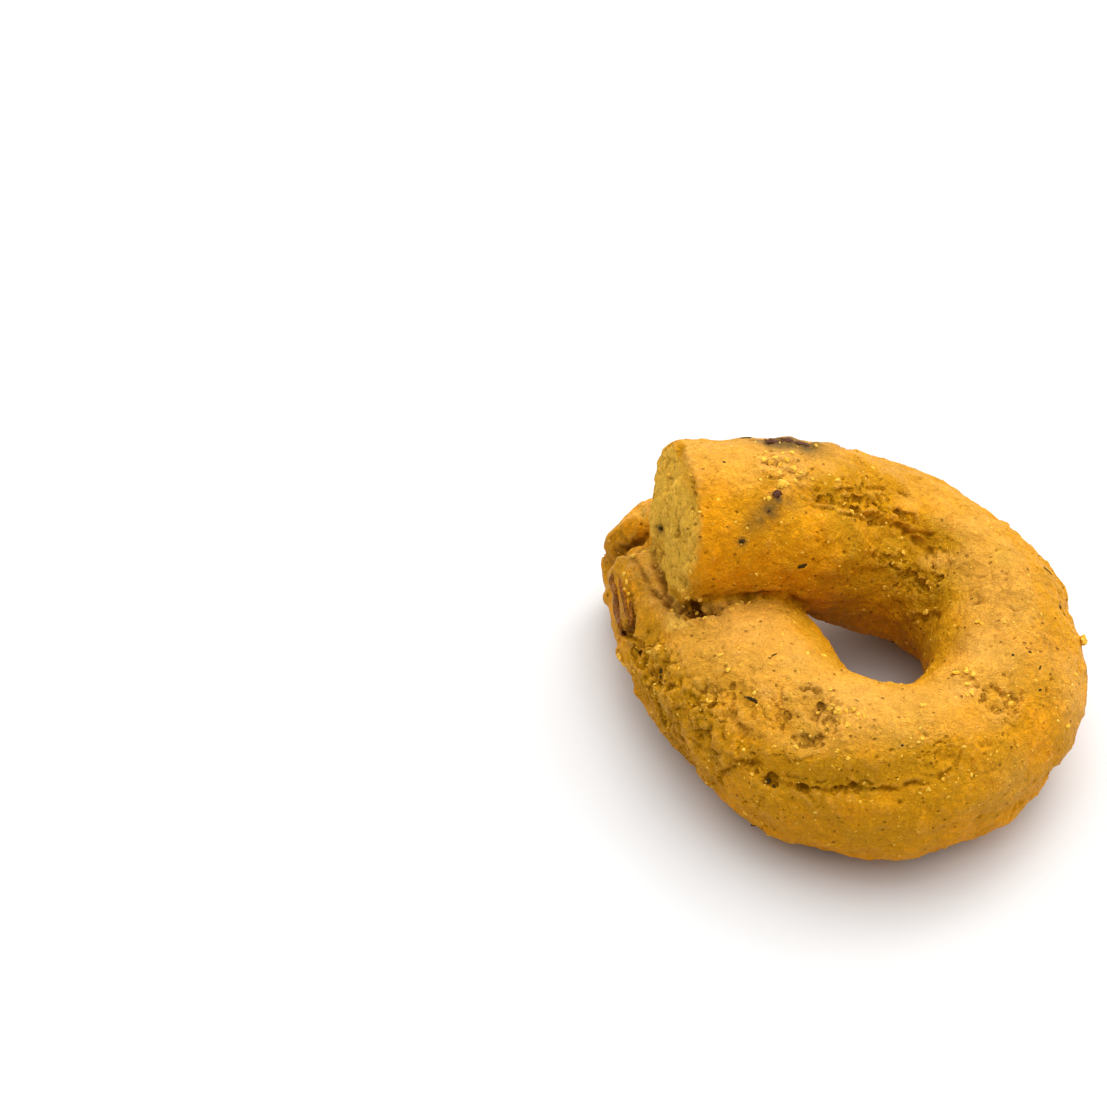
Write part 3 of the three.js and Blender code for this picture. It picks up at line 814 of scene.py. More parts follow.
    # Painted shade in crevices and along the darker cracks, broken up by noise.
    deep = np.maximum(marks.deep, marks.spot(CREVICE_SHADE_SPOTS))
    skin.mask("deep", deep * smooth_step(spots.layers(0.6, 95.0), -0.8, 0.0))
    # Points on ridges get a painted highlight.
    skin.mask("ridge_highlight", smooth_step(fine, 0.5, 2.5) * 0.7 + smooth_step(coarse, 0.5, 2.5) * 0.5)

    skin.mask("cut", cut)
    skin.mask("torn", np.maximum(marks.torn, 0.7 * crumbly))
    # The lower sides are painted amber, standing in for the more saturated orange of the dough in shade.
    low = smooth_step(-marks.base[:, 2], -9.0, -1.0)
    skin.mask("amber_and_low_shade", np.maximum(marks.spot(AMBER_SPOTS), 0.7 * low))
    skin.mask("amber_and_low_shade", hidden * smooth_step(spots.waves(7.0, 41.0), 0.0, 0.6) * 0.7)
    skin.mask("khaki", marks.spot(KHAKI_SPOTS))
    skin.mask("khaki", hidden * smooth_step(spots.waves(6.0, 43.0), 0.1, 0.6) * 0.6)
    skin.mask("smear", marks.spot(SMEAR_SPOTS))
    skin.mask("smear", hidden * smooth_step(spots.waves(3.2, 47.0), 0.55, 0.75) * 0.7)
    skin.mask("pale", marks.spot(PALE_SPOTS))
    # The skin's top is painted paler than its sides, a painted highlight where the light falls.
    skin.mask("pale", 0.6 * smooth_step(marks.normals @ PAINTED_HIGHLIGHT_HEADING, 0.72, 1.0))
    skin.mask("toasted", marks.spot(TOASTED_SPOTS))
    skin.mask("toasted", hidden * smooth_step(spots.waves(4.0, 49.0), 0.2, 0.6) * 0.6)


# ---------------------------------------------------------------- shader nodes


class Graph:
    """A node tree with short ways to add and link its nodes."""

    def __init__(self, tree):
        self.tree = tree

    def add(self, kind, **settings):
        node = self.tree.nodes.new(kind)
        for name, value in settings.items():
            setattr(node, name, value)
        return node

    def feed(self, socket, value):
        """Links a socket to value, or sets it to that number or color."""
        if isinstance(value, bpy.types.NodeSocket):
            self.tree.links.new(value, socket)
        elif socket.type == "RGBA" and len(value) == 3:
            socket.default_value = (*value, 1.0)
        else:
            socket.default_value = value

    def math(self, operation, first, second=0.0, clamp=False):
        node = self.add("ShaderNodeMath", operation=operation, use_clamp=clamp)
        self.feed(node.inputs[0], first)
        self.feed(node.inputs[1], second)
        return node.outputs[0]

    def plus(self, first, second, clamp=False):
        return self.math("ADD", first, second, clamp)

    def minus(self, first, second):
        return self.math("SUBTRACT", first, second)

    def times(self, first, second, clamp=False):
        return self.math("MULTIPLY", first, second, clamp)

    def mix(self, share, first, second, blend="MIX"):
        node = self.add("ShaderNodeMix", data_type="RGBA", blend_type=blend)
        self.feed(node.inputs[0], share)
        self.feed(node.inputs[6], first)
        self.feed(node.inputs[7], second)
        return node.outputs[2]

    def step(self, value, low, high, start=0.0, end=1.0):
        """A smooth step of value from start at low to end at high."""
        node = self.add("ShaderNodeMapRange", interpolation_type="SMOOTHSTEP")
        for socket, number in zip(node.inputs, (value, low, high, start, end)):
            self.feed(socket, number)
        return node.outputs[0]

    def noise(self, place, scale, detail=2.0, rough=0.5, curl=0.0):
        node = self.add("ShaderNodeTexNoise")
        self.feed(node.inputs["Vector"], place)
        self.feed(node.inputs["Scale"], scale)
        self.feed(node.inputs["Detail"], detail)
        self.feed(node.inputs["Roughness"], rough)
        self.feed(node.inputs["Distortion"], curl)
        return node.outputs["Fac"]

    def cells(self, place, scale, feature="F1"):
        node = self.add("ShaderNodeTexVoronoi", feature=feature)
        self.feed(node.inputs["Vector"], place)
        self.feed(node.inputs["Scale"], scale)
        return node

    def place(self):
        """The place on the object in millimetres."""
        coordinates = self.add("ShaderNodeTexCoord")
        scaled = self.add("ShaderNodeVectorMath", operation="SCALE")
        self.feed(scaled.inputs[0], coordinates.outputs["Object"])
        scaled.inputs["Scale"].default_value = 1.0 / MM
        return scaled.outputs[0]

    def mask(self, name):
        return self.add("ShaderNodeAttribute", attribute_name=name).outputs["Fac"]

    def group(self, tree, **values):
        node = self.add("ShaderNodeGroup", node_tree=tree)
        for name, value in values.items():
            self.feed(node.inputs[name], value)
        return node.outputs


def new_group(name, inputs, outputs):
    """A shader node group whose inputs and outputs are numbers."""
    tree = bpy.data.node_groups.new(name, "ShaderNodeTree")
    for label, default in inputs.items():
        socket = tree.interface.new_socket(label, in_out="INPUT", socket_type="NodeSocketFloat")
        socket.default_value = default
    for label in outputs:
        tree.interface.new_socket(label, in_out="OUTPUT", socket_type="NodeSocketFloat")
    graph = Graph(tree)
    return graph, graph.add("NodeGroupInput").outputs, graph.add("NodeGroupOutput").inputs


def speckle_group():
    """A mask of scattered specks, whose spacing and radius are in millimetres."""
    graph, given, out = new_group(
        "scattered_specks",
        {"Spacing": 1.0, "Radius": 0.15, "Share": 0.5, "Shift": 0.0},
        ("Mask",),
    )
    moved = graph.add("ShaderNodeVectorMath", operation="ADD")
    graph.feed(moved.inputs[0], graph.place())
    graph.feed(moved.inputs[1], given["Shift"])
    wobble = graph.noise(moved.outputs[0], 3.0, 1.0)
    found = graph.cells(moved.outputs[0], graph.math("DIVIDE", 1.0, given["Spacing"]))
    gap = graph.times(found.outputs["Distance"], given["Spacing"])
    bent = graph.plus(gap, graph.times(graph.minus(wobble, 0.5), 0.25))
    inner = graph.times(given["Radius"], 0.55)
    round_speck = graph.step(bent, inner, given["Radius"], 1.0, 0.0)
    split = graph.add("ShaderNodeSeparateColor")
    graph.feed(split.inputs[0], found.outputs["Color"])
    chosen = graph.math("LESS_THAN", split.outputs[0], given["Share"])
    graph.feed(out["Mask"], graph.times(round_speck, chosen))
    return graph.tree


def mottle_group():
    """Fine mottling of dough: a shade round 1 and a height, both for lumps of a size."""
    graph, given, out = new_group(
        "fine_mottling",
        {"Size": 0.5, "Contrast": 0.2},
        ("Shade", "Height"),
    )
    place = graph.place()
    scale = graph.math("DIVIDE", 1.0, given["Size"])
    soft = graph.noise(place, scale, 3.0, 0.6)
    curled = graph.noise(place, graph.times(scale, 0.8), 2.0, 0.5, 1.6)
    fold = graph.math("ABSOLUTE", graph.minus(curled, 0.5))
    height = graph.plus(soft, graph.times(fold, 2.0, True))
    swing = graph.times(graph.minus(height, 0.68), given["Contrast"])
    graph.feed(out["Shade"], graph.plus(1.0, swing))
    graph.feed(out["Height"], height)
    return graph.tree


def crease_group():
    """Thin winding creases round lumps of a size, only where a broad noise is over a level."""
    graph, given, out = new_group(
        "fine_creases",
        {"Size": 1.0, "Width": 0.06, "Level": 0.5},
        ("Mask",),
    )
    place = graph.place()
    bend = graph.add("ShaderNodeTexNoise")
    graph.feed(bend.inputs["Vector"], place)
    graph.feed(bend.inputs["Scale"], graph.math("DIVIDE", 1.6, given["Size"]))
    offset = graph.add("ShaderNodeVectorMath", operation="SCALE")
    graph.feed(offset.inputs[0], bend.outputs["Color"])
    graph.feed(offset.inputs["Scale"], given["Size"])
    warped = graph.add("ShaderNodeVectorMath", operation="ADD")
    graph.feed(warped.inputs[0], place)
    graph.feed(warped.inputs[1], offset.outputs[0])
    found = graph.cells(warped.outputs[0], graph.math("DIVIDE", 1.0, given["Size"]), "DISTANCE_TO_EDGE")
    gap = graph.times(found.outputs["Distance"], given["Size"])
    line = graph.step(gap, 0.0, given["Width"], 1.0, 0.0)
    broad = graph.noise(place, graph.math("DIVIDE", 0.6, given["Size"]), 3.0, 0.6)
    shown = graph.step(broad, given["Level"], graph.plus(given["Level"], 0.12))
    graph.feed(out["Mask"], graph.times(line, shown))
    return graph.tree


def shared_group(name, build):
    """A shared node group, built the first time that it is asked for."""
    return bpy.data.node_groups.get(name) or build()


def new_material(name):
    material = bpy.data.materials.new(name)
    material.use_nodes = True
    graph = Graph(material.node_tree)
    surface = next(node for node in graph.tree.nodes if node.type == "BSDF_PRINCIPLED")
    return material, graph, surface.inputs


def shaded(graph, color, shade):
    """A color times a shade."""
    gray = graph.add("ShaderNodeCombineColor")
    for socket in gray.inputs:
        graph.feed(socket, shade)
    return graph.mix(1.0, color, gray.outputs[0], "MULTIPLY")


def bumped(graph, height, depth):
    """A normal bent by a height, where depth is how deep a height of 1 is in millimetres."""
    bump = graph.add("ShaderNodeBump")
    bump.inputs["Distance"].default_value = depth * MM
    graph.feed(bump.inputs["Height"], height)
    return bump.outputs["Normal"]


def dough_material(settings):
    material, graph, surface = new_material("baked_dough")
    place = graph.place()
    specks = shared_group("scattered_specks", speckle_group)
    mottling = shared_group("fine_mottling", mottle_group)
    shaded_hollow, ridge_highlight = graph.mask("shaded_hollow"), graph.mask("ridge_highlight")
    torn, cut = graph.mask("torn"), graph.mask("cut")

    broad = graph.step(graph.noise(place, 0.22, 3.0, 0.6), 0.42, 0.68)
    uneven = graph.step(graph.noise(place, 0.6, 4.0, 0.65), 0.45, 0.75)
    blotch = graph.step(graph.noise(place, 1.6, 3.0, 0.7), 0.48, 0.78)
    # Amber: listed spots and random baked tone, and on the lower sides a painted shade tone.
    amber_and_low_shade = graph.plus(graph.mask("amber_and_low_shade"), graph.times(broad, 0.4), True)
    amber_and_low_shade = graph.plus(amber_and_low_shade, graph.times(blotch, 0.3), True)
    color = graph.mix(amber_and_low_shade, settings.skin, settings.amber_and_low_shade)
    # Toasted skin in streaks, which along the lower end's fold is painted shade.
    streaks = graph.step(graph.noise(place, 1.1, 4.0, 0.7, 1.2), 0.35, 0.6)
    toasted = graph.times(graph.mask("toasted"), streaks)
    color = graph.mix(toasted, color, settings.toasted)
    khaki = graph.plus(graph.mask("khaki"), graph.times(uneven, 0.3), True)
    khaki = graph.math("MAXIMUM", khaki, graph.times(torn, 0.3))
    color = graph.mix(khaki, color, settings.khaki)
    sliced = graph.times(cut, graph.step(uneven, 0.0, 1.0, 0.95, 0.6))
    color = graph.mix(sliced, color, settings.cut)
    # Pale mixes floury spots with the painted highlight on the skin's top and its ridges.
    pale = graph.plus(graph.times(graph.mask("pale"), 0.5), graph.times(ridge_highlight, 0.2), True)
    color = graph.mix(pale, color, settings.pale)

    fine = graph.group(mottling, Size=0.26, Contrast=0.45)
    mottle = graph.group(mottling, Size=0.7, Contrast=0.35)
    coarse = graph.group(mottling, Size=2.2, Contrast=0.3)
    shade = graph.times(mottle["Shade"], coarse["Shade"])
    color = shaded(graph, color, graph.times(shade, fine["Shade"]))

    wisps = graph.step(graph.noise(place, 1.5, 4.0, 0.7), 0.15, 0.45)
    smear = graph.times(graph.mask("smear"), wisps)
    color = graph.mix(smear, color, settings.smear)

    # Pinholes and finer pores are painted shade, dark specks of the crack colour.
    pores = graph.group(specks, Spacing=0.95, Radius=0.16, Share=0.5, Shift=3.0)["Mask"]
    fine_pores = graph.group(specks, Spacing=0.5, Radius=0.09, Share=0.3, Shift=8.0)["Mask"]
    dark = graph.plus(graph.times(pores, 0.55), graph.times(fine_pores, 0.4))
    # Thin creases are painted shade in the rust colour, with no relief of their own.
    creases = shared_group("fine_creases", crease_group)
    crease_shade = graph.group(creases, Size=1.3, Width=0.09, Level=0.52)["Mask"]
    color = graph.mix(graph.times(crease_shade, 0.4), color, settings.rust_and_crease_shade)
    # Painted shade: hollows, crevices and the darker cracks take the crack colour.
    dark = graph.plus(dark, graph.times(shaded_hollow, 0.5), True)
    dark = graph.math("MAXIMUM", dark, graph.mask("deep"))
    color = graph.mix(dark, color, settings.crack)
    rusty = graph.group(specks, Spacing=1.1, Radius=0.22, Share=0.4, Shift=35.0)["Mask"]
    color = graph.mix(graph.times(rusty, 0.3), color, settings.rust_and_crease_shade)
    flour = graph.group(specks, Spacing=0.62, Radius=0.1, Share=0.15, Shift=21.0)["Mask"]
    color = graph.mix(graph.times(flour, 0.4), color, settings.pale)

    graph.feed(surface["Base Color"], color)
    dull = graph.math("MAXIMUM", graph.math("MAXIMUM", torn, cut), shaded_hollow)
    graph.feed(surface["Roughness"], graph.step(dull, 0.0, 1.0, 0.45, 0.75))
    graph.feed(surface["Specular IOR Level"], graph.step(dull, 0.0, 1.0, 0.05, 0.02))
    height = graph.plus(mottle["Height"], graph.times(fine["Height"], 0.8))
    height = graph.minus(height, graph.times(pores, 1.2))
    graph.feed(surface["Normal"], bumped(graph, height, 0.135))
    return material


def bit_material(name, color, dark, rough, size, depth, shine=0.1):
    """A finish for small bits, mottled between two colors in lumps of a size."""
    material, graph, surface = new_material(name)
    mottling = shared_group("fine_mottling", mottle_group)
    mottle = graph.group(mottling, Size=size, Contrast=0.5)
    share = graph.step(graph.noise(graph.place(), 1.4 / size, 3.0, 0.6), 0.35, 0.7)
    graph.feed(surface["Base Color"], shaded(graph, graph.mix(share, color, dark), mottle["Shade"]))
    graph.feed(surface["Roughness"], graph.step(share, 0.0, 1.0, rough, min(1.0, rough + 0.15)))
    surface["Specular IOR Level"].default_value = shine
    graph.feed(surface["Normal"], bumped(graph, mottle["Height"], depth))
    return material


# ---------------------------------------------------------------- pieces


def new_piece(name, points, faces, material, slot, smooth=True):
    """A mesh object from points in millimetres, which rides on the tarallo."""
    mesh = bpy.data.meshes.new(name)
    mesh.vertices.add(len(points))
    mesh.vertices.foreach_set("co", (np.asarray(points) * MM).ravel())
    sides = faces.shape[1]
    mesh.loops.add(faces.size)
    mesh.loops.foreach_set("vertex_index", faces.ravel().astype(np.int32))
    mesh.polygons.add(len(faces))
    mesh.polygons.foreach_set("loop_start", np.arange(0, faces.size, sides, dtype=np.int32))
    mesh.update(calc_edges=True)
    mesh.validate()
    if smooth:
        mesh.shade_smooth()
    else:
        mesh.shade_flat()
    mesh.materials.append(material)
    piece = bpy.data.objects.new(name, mesh)
    bpy.context.scene.collection.objects.link(piece)
    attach(piece, BODY)
    return piece


def skin_tree():
    """A tree of the finished dough, in millimetres."""
    mesh = bpy.data.objects["dough"].data
    points = np.empty(len(mesh.vertices) * 3)
    mesh.vertices.foreach_get("co", points)
    corners = np.empty(len(mesh.loops), dtype=np.int32)
    mesh.loops.foreach_get("vertex_index", corners)
    points = points.reshape(-1, 3) / MM
    faces = corners.reshape(-1, 4)
    return BVHTree.FromPolygons(points.tolist(), faces.tolist()), points


def ball(subdivisions):
    """Points and triangles of a round ball of radius 1."""
    shape = bmesh.new()
    bmesh.ops.create_icosphere(shape, subdivisions=subdivisions, radius=1.0)
    points = np.array([vertex.co for vertex in shape.verts])
    faces = np.array([[vertex.index for vertex in face.verts] for face in shape.faces])
    shape.free()
    return points, faces


def seat(normal, heading):
    """Axes for a bit that lies on the skin: along its heading, across it, and out of the skin."""
    along = heading - normal * (heading @ normal)
    along = along / np.linalg.norm(along)
    return np.stack([along, np.cross(normal, along), normal])


def photo_heading(turn):
    """The direction in the photograph at a turn in degrees, 0 to the right and 90 up."""
    turn = math.radians(turn)
    return math.cos(turn) * VIEW_RIGHT + math.sin(turn) * VIEW_UP


def joined(shapes):
    """Points and faces of many shapes as one."""
    starts = np.cumsum([0] + [len(points) for points, _ in shapes[:-1]])
    points = np.concatenate([points for points, _ in shapes])
    faces = np.concatenate([faces + start for (_, faces), start in zip(shapes, starts)])
    return points, faces


def lump(pattern, middle, axes, halves, rough, rng):
    """An uneven lump at a place, from a ball pattern."""
    points, faces = pattern
    dents = 1.0 + rough * rng.normal(size=(len(points), 1)).clip(-1.5, 1.5)
    return middle + (points * dents * halves) @ axes, faces


def placed_lumps(entries, tree, rng, rough, sink):
    """Lumps at pixels of the photograph, each sunk in the skin by a share of its thickness."""
    pattern = ball(3)
    shapes = []
    for pixel, half_length, half_width, half_thickness, turn in entries:
        point, normal = skin_place(tree, pixel)
        axes = seat(normal, photo_heading(turn))
        middle = point - normal * half_thickness * sink
        halves = np.array([half_length, half_width, half_thickness])
        points, faces = pattern
        phase = rng.uniform(0.0, 50.0)
        uneven = np.array([noise.noise(Vector(place) * 1.9 + Vector((phase, 0, 0))) for place in points])
        shapes.append((middle + (points * (1.0 + rough * uneven[:, None]) * halves) @ axes, faces))
    return shapes


def scattered_places(tree, points, count, rng, chances=None):
    """Random places on the skin, above the table, at even chances if none are given."""
    if chances is not None:
        chances = chances / chances.sum()
    for place in rng.choice(len(points), size=count, replace=False, p=chances):
        if points[place][2] < 0.4:
            continue
        point, normal, _, _ = tree.find_nearest(Vector(points[place]))
        yield np.array(point), np.array(normal)


def hidden_places(tree, points, count, rng):
    """Those of some random places on the skin that the photograph doesn't show."""
    for point, normal in scattered_places(tree, points, count, rng):
        if unseen(point[None], normal[None])[0] > 0.7:
            yield point, normal


def darker(color, share):
    return tuple(part * share for part in color)


def make_dough(settings):
    skin = base_skin(settings.facet)
    shape_skin(skin, settings.relief)
    dough = new_piece("dough", skin.points, skin.quads, dough_material(settings), "baked_dough")
    for name, values in skin.masks.items():
        attribute = dough.data.attributes.new(name, "FLOAT", "POINT")
        attribute.data.foreach_set("value", values.astype(np.float32))
    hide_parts(NODE)


def make_grains(settings):
    tree, points = skin_tree()
    rng = np.random.default_rng(21)
    pattern = ball(1)
    shapes = []
    for point, normal in scattered_places(tree, points, settings.grains, rng):
        size = 0.06 + 0.08 * rng.random() ** 2
        halves = size * np.array([1.25, 0.9, 0.8]) * rng.uniform(0.8, 1.2, size=3)
        axes = seat(normal, rng.normal(size=3))
        shapes.append(lump(pattern, point - normal * size * 0.3, axes, halves, 0.12, rng))
    material = bit_material("semolina", settings.grain, settings.crumb, 0.4, 0.3, 0.01)
    new_piece("semolina_grains", *joined(shapes), material, "grain", smooth=False)


def make_crumbs(settings):
    tree, points = skin_tree()
    rng = np.random.default_rng(22)
    pattern = ball(2)
    shapes = []
    for pixel, size, long, flat in CRUMBS:
        point, normal = skin_place(tree, pixel)
        axes = seat(normal, rng.normal(size=3))
        for _ in range(CRUMBS_IN_CLUSTER):
            offset = rng.normal(size=3).clip(-1.2, 1.2) * np.array([long, 1.0, 0.3]) * size * 0.35
            part = size * rng.uniform(0.3, 0.6)
            halves = part * np.array([1.2, 0.9, flat]) * rng.uniform(0.7, 1.3, size=3)
            turned = seat(normal, rng.normal(size=3))
            middle = point + offset @ axes + normal * part * 0.2
            shapes.append(lump(pattern, middle, turned, halves, 0.16, rng))
    # Loose crumbs are mostly where the skin is torn.
    torn = np.empty(len(points))
    bpy.data.objects["dough"].data.attributes["torn"].data.foreach_get("value", torn)
    for point, normal in scattered_places(tree, points, LOOSE_CRUMBS, rng, 0.08 + torn):
        size = 0.06 + 0.13 * rng.random() ** 3
        halves = size * np.array([1.3, 0.9, 0.7]) * rng.uniform(0.7, 1.3, size=3)
        axes = seat(normal, rng.normal(size=3))
        shapes.append(lump(pattern, point, axes, halves, 0.18, rng))
    material = bit_material("torn_crumb", settings.crumb, settings.grain, 0.6, 0.4, 0.03)
    new_piece("crumbs", *joined(shapes), material, "grain", smooth=False)


def make_herbs(settings):
    tree, points = skin_tree()
    rng = np.random.default_rng(23)
    shapes = placed_lumps(HERBS, tree, rng, 0.6, 0.0)
    pattern = ball(2)
    for point, normal in hidden_places(tree, points, HERB_PLACES, rng):
        size = rng.uniform(0.12, 0.45)
        halves = np.array([size, size * rng.uniform(0.25, 0.7), 0.05])
        axes = seat(normal, rng.normal(size=3))
        shapes.append(lump(pattern, point, axes, halves, 0.12, rng))
    material = bit_material("dried_herb", settings.herb, darker(settings.herb, 0.4), 0.6, 0.2, 0.02)
    new_piece("herb_flakes", *joined(shapes), material, "herb")


def make_olives(settings):
    tree, points = skin_tree()
    rng = np.random.default_rng(24)
    shapes = placed_lumps(OLIVES, tree, rng, 0.6, 0.5)
    pattern = ball(3)
    for point, normal in islice(hidden_places(tree, points, OLIVE_PLACES, rng), HIDDEN_OLIVES):
        halves = np.array([rng.uniform(0.3, 0.8), rng.uniform(0.2, 0.4), 0.14])
        axes = seat(normal, rng.normal(size=3))
        shapes.append(lump(pattern, point - normal * 0.05, axes, halves, 0.05, rng))
    dark = darker(settings.olive, 0.5)
    material = bit_material("black_olive", settings.olive, dark, 0.5, 0.4, 0.02, 0.06)
    new_piece("olive_bits", *joined(shapes), material, "olive")


def strip_shape(line, normals, wide, thick, rng, around=12, parts=24):
    """A wrinkled strip that follows a line and tapers to both ends."""
    phase = rng.uniform(0.0, 50.0)
    passed = np.linspace(0.0, 1.0, len(line))
    shares = np.linspace(0.0, 1.0, parts + 1)
    middles = np.stack([np.interp(shares, passed, line[:, axis]) for axis in range(3)], axis=1)
    facing = np.stack([np.interp(shares, passed, normals[:, axis]) for axis in range(3)], axis=1)
    headings = np.gradient(middles, axis=0)
    rings = []
    for share, middle, normal, heading in zip(shares, middles, facing, headings):
        axes = seat(normal / np.linalg.norm(normal), heading)
        taper = max(0.02, math.sin(math.pi * share)) ** 0.45
        for turn in np.linspace(0.0, 2.0 * math.pi, around, endpoint=False):
            across, out = math.cos(turn), math.sin(turn)
            crease = 1.0 + 0.35 * noise.noise(Vector((share * 3.0 + phase, across * 2.2, out * 2.2)))
            offset = across * wide * axes[1] + out * thick * axes[2]
            rings.append(middle + offset * taper * crease)
    first = np.arange(parts * around)
    ring, turn = first // around, first % around
    after = (turn + 1) % around
    low, high = ring * around, (ring + 1) * around
    faces = np.stack([low + turn, low + after, high + after, high + turn], axis=1)
    caps = [
        [start + side, start + side + 1, start + around - 2 - side, start + around - 1 - side]
        for start in (0, parts * around)
        for side in range(around // 2 - 1)
    ]
    return np.array(rings), np.concatenate([faces, np.array(caps)])


def make_tomato(settings):
    tree, _ = skin_tree()
    rng = np.random.default_rng(25)
    shapes = []
    for wide, thick, lift, pixels in TOMATO_STRIPS:
        line = skin_line(tree, pixels, 3.0)
        normals = np.array([np.array(tree.find_nearest(Vector(point))[1]) for point in line])
        normals = normals + normals.mean(axis=0)
        normals = normals / np.linalg.norm(normals, axis=1, keepdims=True)
        shapes.append(strip_shape(line + normals * lift, normals, wide, thick, rng))
    dark = darker(settings.tomato, 0.35)
    material = bit_material("dried_tomato", settings.tomato, dark, 0.45, 0.35, 0.04, 0.07)
    new_piece("tomato_strips", *joined(shapes), material, "tomato")


# ---------------------------------------------------------------- the stage


def soft_light(name, place, size, power, color, target):
    light = bpy.data.lights.new(name, "AREA")
    light.shape = "DISK"
    light.size = size
    light.energy = power
    light.color = color
    lamp = bpy.data.objects.new(name, light)
    lamp.location = place
    lamp.rotation_euler = (target - Vector(place)).to_track_quat("-Z", "Y").to_euler()
    bpy.context.scene.collection.objects.link(lamp)


def light_tent(settings):
    """A white tent round the table, brightest above and behind on the right."""
    world = bpy.data.worlds.new("light_tent")
    world.use_nodes = True
    graph = Graph(world.node_tree)
    heading = graph.add("ShaderNodeTexCoord").outputs["Generated"]
    toward = graph.add("ShaderNodeVectorMath", operation="DOT_PRODUCT")
    graph.feed(toward.inputs[0], heading)
    graph.feed(toward.inputs[1], Vector((0.25, 0.55, 0.8)).normalized())
    strength = graph.step(
        toward.outputs["Value"], -0.1, 0.95, settings.room_strength, settings.tent_strength
    )
    tent = graph.tree.nodes["Background"].inputs
    graph.feed(tent["Color"], (1.0, 1.0, 1.0))
    graph.feed(tent["Strength"], strength)
    return world


def make_stage(settings):
    side = 1.5
    floor_mesh = bpy.data.meshes.new("floor")
    corners = [(-side, -side, 0), (side, -side, 0), (side, side, 0), (-side, side, 0)]
    floor_mesh.from_pydata(corners, [], [(0, 1, 2, 3)])
    material, graph, surface = new_material("pale_table")
    graph.feed(surface["Base Color"], settings.floor)
    surface["Roughness"].default_value = 0.7
    floor_mesh.materials.append(material)
    floor = bpy.data.objects.new("floor", floor_mesh)
    bpy.context.scene.collection.objects.link(floor)

    bpy.context.scene.world = light_tent(settings)
    middle = (CAD_BOX[0] + CAD_BOX[1]) / 2
    soft_light("key_light", (0.2, 0.3, 0.4), 0.25, settings.key_power, (1.0, 0.98, 0.95), middle)
    soft_light("top_light", (0.03, 0.08, 0.5), 0.4, settings.top_power, (1.0, 1.0, 1.0), middle)

    camera_data = bpy.data.cameras.new("photo_camera")
    camera_data.sensor_width = SENSOR
    camera_data.lens = LENS
    camera_data.clip_start = 0.01
    camera = bpy.data.objects.new("photo_camera", camera_data)
    axes = Matrix((VIEW_RIGHT, VIEW_UP, -VIEW_AHEAD)).transposed()
    camera.matrix_world = Matrix.Translation(Vector(CAMERA_PLACE) * MM) @ axes.to_4x4()
    bpy.context.scene.collection.objects.link(camera)
    bpy.context.scene.camera = camera
    bpy.context.scene.view_settings.view_transform = "Standard"


# ---------------------------------------------------------------- operators and panel


class MakeDough(bpy.types.Operator):
    """Makes the baked dough, which stands for the solid."""

    bl_idname = "tarallo.dough"
    bl_label = "Dough"

    def execute(self, context):
        make_dough(context.scene.tarallo_dough)
        return {"FINISHED"}


class MakeGrains(bpy.types.Operator):
    """Scatters the semolina grains in the skin."""

    bl_idname = "tarallo.grains"
    bl_label = "Semolina grains"

    def execute(self, context):
        make_grains(context.scene.tarallo_bits)
        return {"FINISHED"}


class MakeCrumbs(bpy.types.Operator):
    """Lays the torn crumbs on the skin."""

    bl_idname = "tarallo.crumbs"
    bl_label = "Crumbs"

    def execute(self, context):
        make_crumbs(context.scene.tarallo_bits)
        return {"FINISHED"}


class MakeHerbs(bpy.types.Operator):
    """Lays the dried herb flakes in the skin."""

    bl_idname = "tarallo.herbs"
    bl_label = "Herb flakes"

    def execute(self, context):
        make_herbs(context.scene.tarallo_bits)
        return {"FINISHED"}


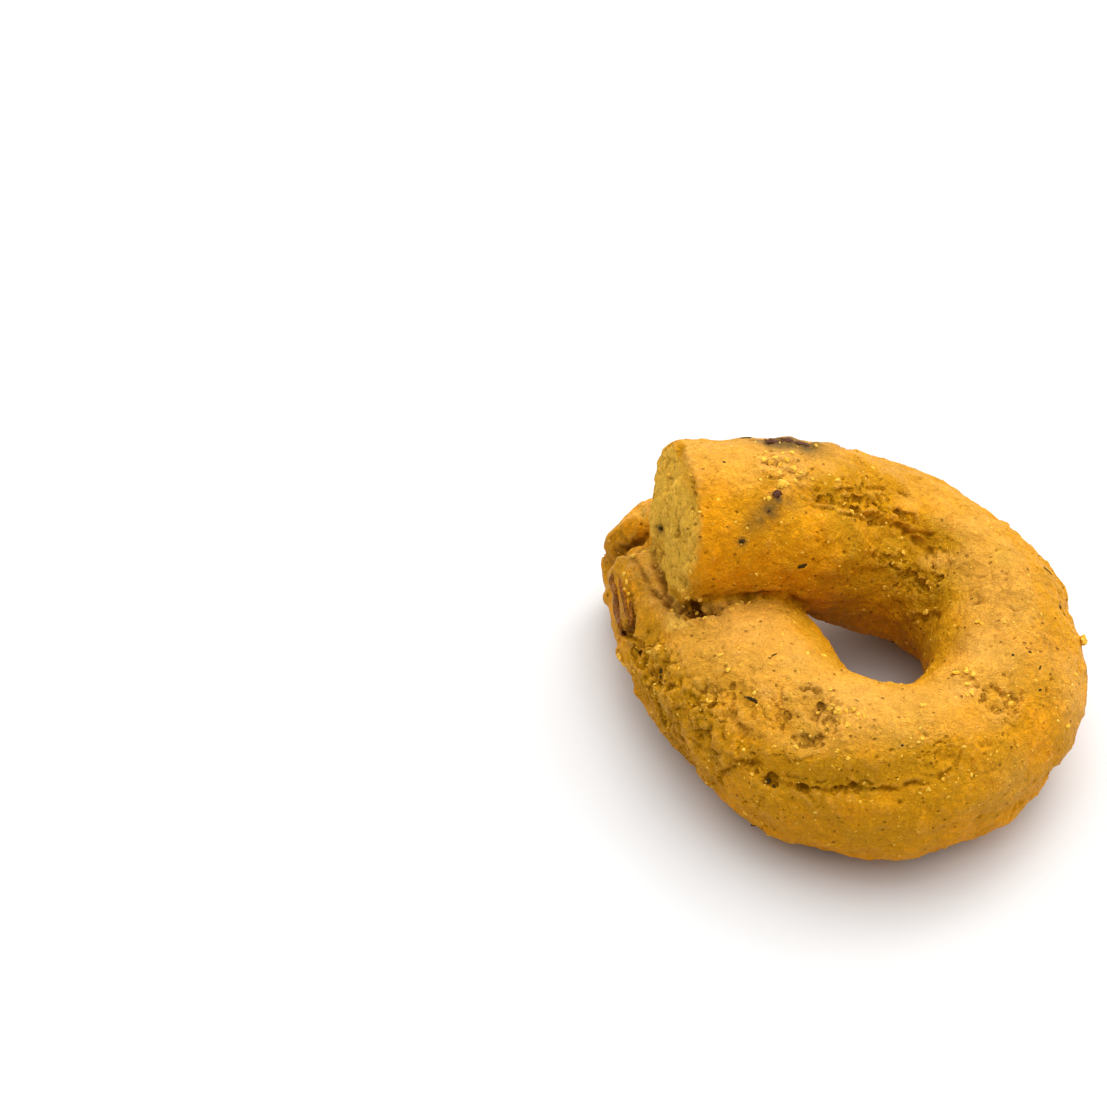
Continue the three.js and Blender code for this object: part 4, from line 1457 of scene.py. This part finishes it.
class MakeOlives(bpy.types.Operator):
    """Sets the bits of black olive in the skin."""

    bl_idname = "tarallo.olives"
    bl_label = "Olive bits"

    def execute(self, context):
        make_olives(context.scene.tarallo_bits)
        return {"FINISHED"}


class MakeTomato(bpy.types.Operator):
    """Lays the strips of dried tomato in the split by the lower end."""

    bl_idname = "tarallo.tomato"
    bl_label = "Tomato strips"

    def execute(self, context):
        make_tomato(context.scene.tarallo_bits)
        return {"FINISHED"}


class MakeStage(bpy.types.Operator):
    """Makes the table, the light and the photograph's camera."""

    bl_idname = "tarallo.stage"
    bl_label = "Stage"

    def execute(self, context):
        make_stage(context.scene.tarallo_stage)
        return {"FINISHED"}


OPERATORS = (MakeDough, MakeGrains, MakeCrumbs, MakeHerbs, MakeOlives, MakeTomato, MakeStage)
SETTINGS = {
    "tarallo_dough": DoughSettings,
    "tarallo_bits": BitSettings,
    "tarallo_stage": StageSettings,
}


class TaralloPanel(bpy.types.Panel):
    """Lists the tarallo's pieces and their settings."""

    bl_idname = "VIEW3D_PT_tarallo"
    bl_label = "Tarallo"
    bl_space_type = "VIEW_3D"
    bl_region_type = "UI"
    bl_category = "Tarallo"

    def draw(self, context):
        for operator in OPERATORS:
            self.layout.operator(operator.bl_idname)
        for name in SETTINGS:
            settings = getattr(context.scene, name)
            column = self.layout.column()
            for field in settings.bl_rna.properties:
                if not field.is_readonly and field.identifier != "name":
                    column.prop(settings, field.identifier)


def register():
    for known in (*SETTINGS.values(), *OPERATORS, TaralloPanel):
        bpy.utils.register_class(known)
    for name, group in SETTINGS.items():
        setattr(bpy.types.Scene, name, PointerProperty(type=group))


def unregister():
    for name in SETTINGS:
        delattr(bpy.types.Scene, name)
    for known in reversed((*SETTINGS.values(), *OPERATORS, TaralloPanel)):
        bpy.utils.unregister_class(known)


def main():
    register()
    bpy.ops.tarallo.dough()
    bpy.ops.tarallo.grains()
    bpy.ops.tarallo.crumbs()
    bpy.ops.tarallo.herbs()
    bpy.ops.tarallo.olives()
    bpy.ops.tarallo.tomato()
    bpy.ops.tarallo.stage()


if __name__ == "__main__":
    main()
